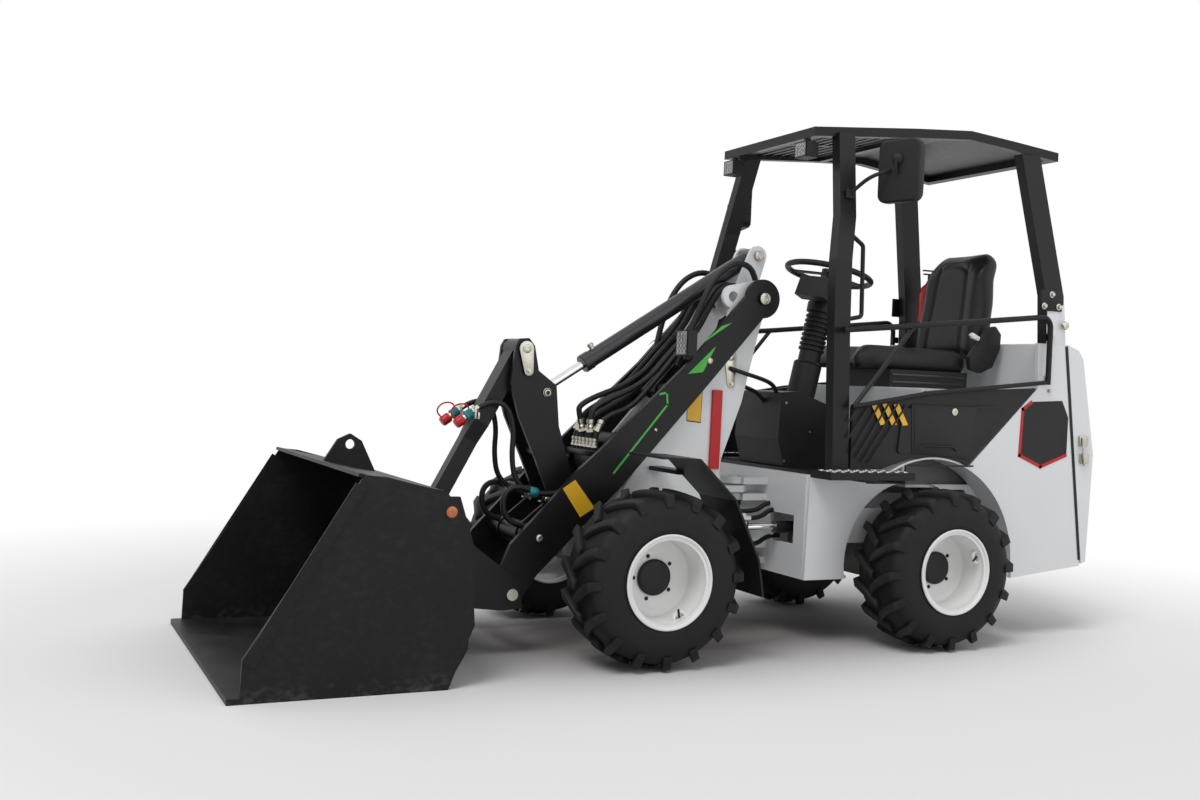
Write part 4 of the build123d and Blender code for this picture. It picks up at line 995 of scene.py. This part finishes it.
lamp_face(at(0.16, 0.262, 1.16), at(0.25, 0.308, 1.262), 3, 4, "boom", "boom_lamp")
lamp_face(at(0.24, 0.738, 1.996), at(0.32, 0.8, 2.06), 3, 3, "rear_frame", "roof_lamp_left")
lamp_face(at(-0.32, 0.738, 1.996), at(-0.24, 0.8, 2.06), 3, 3, "rear_frame", "roof_lamp_right")

# %% [markdown]
# A round amber reflector sits in a rubber ring on each side of the bucket.

# %% Bucket reflectors
amber_bm, ring_bm = bmesh.new(), bmesh.new()
for side in (1, -1):
    spot = at(side * 0.663, -0.836, 0.592)
    turned(amber_bm, [(-0.001, 0), (-0.001, 0.019), (0.0035, 0.019), (0.0048, 0.016), (0.0054, 0.008), (0.0054, 0)],
           spot, (side, 0, 0), 28)
    turned(ring_bm, [(-0.001, 0.019), (0.003, 0.0195), (0.003, 0.023), (-0.001, 0.024)], spot, (side, 0, 0), 28,
           closed=True)
piece("bucket_reflectors", amber_bm, amber, "bucket", "lamp")
piece("reflector_rings", ring_bm, seal_rubber, "bucket", "black_plastic")

# %% [markdown]
# The steering column's upper half is a bellows, a row of soft rings. The display's pod has a dark glossy screen that
# faces the driver, and screws hold the console's panels.

# %% Column, display and console
foot, hub = at(0, 0.967, 0.93), at(0, 1.11, 1.56)
lean = (hub - foot).normalized()
bm = bmesh.new()
rings = [(0.285, 0.04)]
for step in range(8):
    start = 0.29 + 0.021 * step
    rings += [(start, 0.049), (start + 0.004, 0.0565), (start + 0.013, 0.0565), (start + 0.017, 0.049)]
rings += [(0.462, 0.049), (0.466, 0.06), (0.505, 0.0615), (0.512, 0.058), (0.512, 0.04)]
turned(bm, rings, foot, lean, 40, closed=True)
turned(bm, [(0.228, 0.047), (0.234, 0.0615), (0.241, 0.055), (0.243, 0.047)], foot, lean, 40, closed=True)
piece("column_bellows", bm, black_plastic, "rear_frame", "black_plastic")
bm = bmesh.new()
pod_turn = Matrix.Rotation(radians(20), 4, "Z") @ Matrix.Rotation(radians(-20), 4, "X")
pod = Matrix.Translation(at(0.13, 0.95, 1.48)) @ pod_turn
block(bm, (-0.064, 0.0285, -0.036), (0.064, 0.0312, 0.036), 0.0012, pod)
piece("display_screen", bm, display, "rear_frame", "black_plastic")
zinc_bm = bmesh.new()
for side in (1, -1):
    for y, z in ((0.8, 0.74), (0.8, 0.985), (1.05, 0.74), (1.05, 0.94), (0.925, 0.865)):
        turned(zinc_bm, [(-0.001, 0), (-0.001, 0.006), (0.0015, 0.005), (0.002, 0.002), (0.0015, 0)],
               at(side * 0.17, y, z), (side, 0, 0), 14)
piece("console_screws", zinc_bm, pin_zinc, "rear_frame", "pin_zinc")

# %% [markdown]
# A step's tread is punched: every hole has a raised collar that grips a muddy boot. A ring of a few faces, repeated,
# shows that well enough.

# %% Step treads
bm = bmesh.new()
for side in (1, -1):
    for i in range(3):
        for k in range(9):
            spot = at(side * (0.533 + 0.04 * i), 0.732 + 0.0435 * k, 0.73)
            turned(bm, [(-0.001, 0.008), (0.0035, 0.009), (0.0035, 0.011), (-0.001, 0.0145)], spot, (0, 0, 1), 14,
                   closed=True)
piece("step_treads", bm, steel, "rear_frame", "black_paint")

# %% [markdown]
# Mirrors hang on a ball joint in a curved arm. The glass faces back to the driver.

# %% Mirrors
MIRROR = (0.19, 0.046, 0.25)
MIRROR_TURN = radians(18)
glass_bm, joint_bm, head_bm = bmesh.new(), bmesh.new(), bmesh.new()
foot_x = min(vert.co.x for vert in frame["nodes"]["mirrors"].data.vertices if vert.co.x > 0)
for side in (1, -1):
    head = Matrix.Translation(at(side * 0.588, 1.012, 1.929)) @ Matrix.Rotation(side * MIRROR_TURN, 4, "Z")
    shell = bmesh.ops.create_cube(head_bm, size=1.0, matrix=head @ Matrix.Diagonal((*MIRROR, 1.0)))["verts"]
    deep = head.to_3x3() @ Vector((0, 1, 0))
    corners = [edge for edge in head_bm.edges if edge.verts[0] in shell and edge.verts[1] in shell
               and abs((edge.verts[1].co - edge.verts[0].co).normalized().dot(deep)) > 0.9]
    bevelled(head_bm, corners, 0.034, 5)
    rims = [edge for edge in head_bm.edges if edge.is_manifold and edge.calc_face_angle(0) > 1.2]
    bevelled(head_bm, rims, 0.009, 3)
    arm = ((foot_x + 0.005, 0.87, 1.84), (0.5, 0.885, 1.876), (0.542, 0.905, 1.903), (0.556, 0.945, 1.92),
           (0.56, 0.985, 1.935))
    tube(head_bm, [at(side * x, y, z) for x, y, z in arm], 0.008)
    foot = sorted((side * foot_x, side * (foot_x + 0.011)))
    block(head_bm, at(foot[0], 0.85, 1.822), at(foot[1], 0.89, 1.858), 0.002)
    block(glass_bm, (-0.083, 0.0225, -0.112), (0.083, 0.0245, 0.112), 0.0008, head)
    ball = head @ Vector((0, -0.022, 0.045))
    out = head.to_3x3() @ Vector((0, -1, 0))
    turned(joint_bm, [(-0.002, 0), (-0.002, 0.026), (0.008, 0.024), (0.018, 0.016), (0.022, 0.008), (0.023, 0)],
           ball, out, 24)
    tube(joint_bm, [ball + out * reach + Vector((0, 0, -drop)) for reach, drop in
                    ((0.016, 0), (0.018, 0.03), (0.01, 0.06))], 0.006)
piece("mirror_heads", head_bm, black_plastic, "rear_frame", "black_plastic", "mirrors")
piece("mirror_glass", glass_bm, mirror_glass, "rear_frame", "rod_chrome")
piece("mirror_joints", joint_bm, black_plastic, "rear_frame", "black_plastic")

# %% [markdown]
# A moulded cover hides the seat's recliner, and a white lever stands out of it. The seat runs on two rails.

# %% Seat cover, lever and rails
cover_bm, lever_bm, rail_bm = bmesh.new(), bmesh.new(), bmesh.new()
SHELL = [(1.7, 1.165), (1.762, 1.15), (1.828, 1.178), (1.868, 1.262), (1.872, 1.33), (1.838, 1.366), (1.79, 1.352),
         (1.758, 1.3), (1.722, 1.262), (1.69, 1.222)]
for side in (1, -1):
    plate(cover_bm, SHELL, side * 0.246, side * 0.274, 0.006)
    turned(cover_bm, [(0, 0), (0, 0.016), (0.004, 0.014), (0.005, 0)], at(side * 0.2735, 1.79, 1.215), (side, 0, 0), 20)
    for z in (1.09, 1.122):
        block(rail_bm, at(side * 0.23 - 0.004, 1.3, z), at(side * 0.23 + 0.004, 1.7, z + 0.01), 0.0015)
lever = [(1.742, 1.312), (1.7, 1.33), (1.688, 1.318), (1.7, 1.304), (1.738, 1.294)]
plate(lever_bm, lever, 0.262, 0.28, 0.003)
piece("recliner_covers", cover_bm, black_plastic, "rear_frame", "black_plastic")
piece("recliner_lever", lever_bm, rim_white, "rear_frame", "white_paint")
piece("seat_rails", rail_bm, tube_paint, "rear_frame", "black_paint")

# %% [markdown]
# Cylinders end in a gland: a turned nut that guides the rod, with a zinc port beside it. They ride on the barrel.

# %% Cylinder glands
def gland(name, body, pivot, end, tube_r):
    """A ring at a barrel's open end, with a port beside it."""
    axis = (end - pivot).normalized()
    bm, port_bm = bmesh.new(), bmesh.new()
    turned(bm, [(-0.04, tube_r - 0.002), (-0.04, tube_r + 0.003), (-0.004, tube_r + 0.003), (0.0, tube_r),
                (0.0, tube_r - 0.006), (-0.006, tube_r - 0.008)], end, axis, 40, closed=True)
    across = axis.cross(Vector((1, 0, 0))).normalized()
    spot = end - axis * 0.07 + across * (tube_r - 0.002)
    turned(port_bm, [(0, 0), (0, 0.011), (0.012, 0.011), (0.012, 0.013), (0.024, 0.013), (0.024, 0)], spot, across, 12)
    piece(name + "_gland", bm, tube_paint, body, "cylinder")
    piece(name + "_port", port_bm, pin_zinc, body, "pin_zinc")


def open_end(node, pivot):
    """The middle of a barrel's end that lies furthest from its pivot."""
    mesh = frame["nodes"][node].data
    far = max((vert.co.yz - pivot.yz).length for vert in mesh.vertices)
    rim_points = [vert.co for vert in mesh.vertices if (vert.co.yz - pivot.yz).length > far - 0.004]
    middle = sum(rim_points, Vector()) / len(rim_points)
    return Vector((0, middle.y, middle.z))


for name, pivot, tube_r in (("tilt", at(0, *TILT_EAR), 0.035), ("lift", at(0, *LIFT_EAR), 0.042)):
    end = open_end(f"{name}_cylinder_barrel", pivot)
    gland(f"{name}_cylinder", f"{name}_barrel", pivot, end, tube_r)
    print(name, "barrel ends at", [round(value, 3) for value in end])

# %% [markdown]
# An extinguisher is a drawn steel bottle with a domed shoulder, a brass valve and a squeeze handle. It is strapped
# to the deck behind the seat.

# %% Fire extinguisher
low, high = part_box("fire_extinguisher")
middle_x, middle_y = (low[0] + high[0]) / 2, 1.96
base = at(middle_x, middle_y, low[2])
red_bm, dark_bm = bmesh.new(), bmesh.new()
turned(red_bm, [(0.0, 0), (0.0, 0.044), (0.004, 0.049), (0.01, 0.0515), (0.25, 0.0515), (0.27, 0.048), (0.29, 0.038),
                (0.303, 0.024), (0.311, 0.019), (0.316, 0.0)], base, (0, 0, 1), 48)
turned(dark_bm, [(0.308, 0), (0.308, 0.017), (0.318, 0.017), (0.32, 0.013), (0.345, 0.013), (0.35, 0.009), (0.35, 0)],
       base, (0, 0, 1), 24)
for height, reach in ((0.348, 0.04), (0.366, 0.044)):
    spot = base + Vector((0, 0, height))
    block(dark_bm, spot + Vector((-0.009, -reach, 0)), spot + Vector((0.009, 0.022, 0.007)), 0.002)
tube(dark_bm, [base + Vector((0, 0.012, 0.335)), base + Vector((0, 0.034, 0.342)), base + Vector((0.02, 0.046, 0.3)),
               base + Vector((0.04, 0.036, 0.2)), base + Vector((0.046, 0.026, 0.12))], 0.0055)
turned(dark_bm, [(0.1, 0.0505), (0.1, 0.053), (0.118, 0.053), (0.118, 0.0505)], base, (0, 0, 1), 48, closed=True)
piece("extinguisher_bottle", red_bm, red_paint, "rear_frame", "red_paint", "fire_extinguisher")
piece("extinguisher_valve", dark_bm, black_plastic, "rear_frame", "black_plastic")

# %% [markdown]
# Lines also pass the steering pivot: a pair from the tower to the console, and a few low ones between the frames.
# They hang in gentle arcs, long enough for full lock, and ride on neither frame.

# %% Hoses over the steering pivot
high_lines = hose("console_hoses", [
    [(0.195, 0.5, 1.12), (0.215, 0.54, 1.105), (0.2, 0.64, 1.085), (0.16, 0.73, 1.065), (0.11, 0.79, 1.03),
     (0.08, 0.812, 0.98)],
    [(0.12, 0.52, 1.06), (0.11, 0.58, 1.06), (0.09, 0.66, 1.04), (0.05, 0.74, 1.02), (0.02, 0.81, 0.96)],
], hose_rubber, None, 0.009)
at(0, 0.58, 1.07)
at(0, 0.76, 1.03)
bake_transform(high_lines)
low_lines = hose("hitch_hoses", [
    [(x, 0.47, z), (x, 0.53, z), (x * 1.25, 0.6, z - 0.035), (x * 1.25, 0.7, z - 0.035), (x, 0.77, z),
     (x, 0.83, z)] for x, z in ((0.1, 0.56), (0.128, 0.535), (-0.1, 0.56), (-0.128, 0.535), (0.112, 0.42))
], hose_rubber, None, 0.01)
at(0, 0.55, 0.55)
at(0, 0.77, 0.55)
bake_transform(low_lines)

# %% [markdown]
# The camera stands where the photographer stood: near the machine's left front, at chest height, tipped by two and
# a half degrees. A camera looks along its own -Z, so its turn is built from three directions: right, up and back.

# %% Camera
CAMERA_PLACE = (4.6149, -2.56377, 1.04349)
CAMERA_LOOK = (-0.90025, 0.43512, -0.01479)
CAMERA_ROLL = radians(2.414)
LENS, SENSOR = 37.86, 36.0


def stand_camera():
    data = bpy.data.cameras.new("camera")
    data.lens, data.sensor_width = LENS, SENSOR
    camera = placed("camera", data)
    look = Vector(CAMERA_LOOK).normalized()
    right = look.cross(Vector((0, 0, 1))).normalized()
    up = right.cross(look)
    level = right * cos(CAMERA_ROLL) + up * sin(CAMERA_ROLL)
    upright = up * cos(CAMERA_ROLL) - right * sin(CAMERA_ROLL)
    turn = Matrix((level, upright, -look)).transposed().to_4x4()
    camera.matrix_world = Matrix.Translation(CAMERA_PLACE) @ turn
    bpy.context.scene.camera = camera


stand_camera()

# %% [markdown]
# A studio picture has one large soft light, a weaker one opposite, and a pale room that fills the shadows. A sun
# lamp with a wide angle gives the soft key. The room is the world's light, and what the camera and the reflections
# see of it is plain white.

# %% Light and room
def sun(name, strength, angle, aim):
    data = bpy.data.lights.new(name, "SUN")
    data.energy, data.angle = strength, radians(angle)
    lamp = placed(name, data)
    lamp.rotation_mode = "QUATERNION"
    lamp.rotation_quaternion = Vector(aim).to_track_quat("-Z", "Y")


sun("key", 1.35, 24.0, (-0.42, 0.55, -1.0))
sun("fill", 0.42, 50.0, (-0.9, -0.35, -0.35))


def room():
    world = bpy.data.worlds.new("room")
    bpy.context.scene.world = world
    world.use_nodes = True
    tree = world.node_tree
    tree.nodes.clear()
    path = tree.nodes.new("ShaderNodeLightPath")
    seen = path.outputs["Is Camera Ray"]
    for ray in ("Is Glossy Ray", "Is Transmission Ray"):
        either = tree.nodes.new("ShaderNodeMath")
        either.operation = "MAXIMUM"
        tree.links.new(seen, either.inputs[0])
        tree.links.new(path.outputs[ray], either.inputs[1])
        seen = either.outputs[0]
    fill, white = tree.nodes.new("ShaderNodeBackground"), tree.nodes.new("ShaderNodeBackground")
    fill.inputs["Color"].default_value = (0.97, 0.985, 1.0, 1.0)
    fill.inputs["Strength"].default_value = 0.55
    white.inputs["Strength"].default_value = 1.0
    white.inputs["Color"].default_value = (1.0, 1.0, 1.0, 1.0)
    mix, out = tree.nodes.new("ShaderNodeMixShader"), tree.nodes.new("ShaderNodeOutputWorld")
    tree.links.new(seen, mix.inputs["Fac"])
    tree.links.new(fill.outputs[0], mix.inputs[1])
    tree.links.new(white.outputs[0], mix.inputs[2])
    tree.links.new(mix.outputs[0], out.inputs["Surface"])


room()
bpy.context.scene.view_settings.view_transform = "Standard"

# %% [markdown]
# The floor catches the shadow near the machine and fades to the white of the room further out, so no horizon
# shows. The fade is a round mask on the floor's own coordinates. A flatter round mask also paints a dark brownish
# shadow into the floor's colour under the machine.

# %% Floor
def floor():
    finish = Finish("floor")
    settings = {"gradient_type": "SPHERICAL"}
    spread = finish.node("ShaderNodeTexGradient", settings, [finish.stretched(0.16, 0.16, 1.0)], out="Fac")
    near = (spread * 3.2 - 0.9).held()
    # Painted shadow: under the machine the floor's own colour darkens to a brownish grey.
    under = finish.node("ShaderNodeTexGradient", settings, [finish.stretched(0.78, 0.36, 1.0)], out="Fac")
    wear_and_painted_shadow = (under * under * 1.7).held()
    colour = finish.blend(wear_and_painted_shadow, grey(0.86, (1.0, 0.985, 0.98)), grey(0.2, (1.06, 0.98, 0.97)))
    diffuse = finish.give(Base_Color=colour, Roughness=0.9, Specular_IOR_Level=0.1)
    glow = finish.node("ShaderNodeEmission", {}, {"Color": (1.0, 1.0, 1.0, 1.0), "Strength": 1.0})
    mix = finish.tree.nodes.new("ShaderNodeMixShader")
    finish.tree.links.new(near.socket, mix.inputs["Fac"])
    finish.tree.links.new(glow.socket, mix.inputs[1])
    finish.tree.links.new(finish.shader.outputs[0], mix.inputs[2])
    finish.tree.links.new(mix.outputs[0], finish.tree.nodes["Material Output"].inputs["Surface"])
    bm = bmesh.new()
    bmesh.ops.create_grid(bm, x_segments=8, y_segments=8, size=30.0)
    mesh = meshed("floor", bm)
    mesh.materials.append(diffuse)
    ground = placed("floor", mesh)


floor()
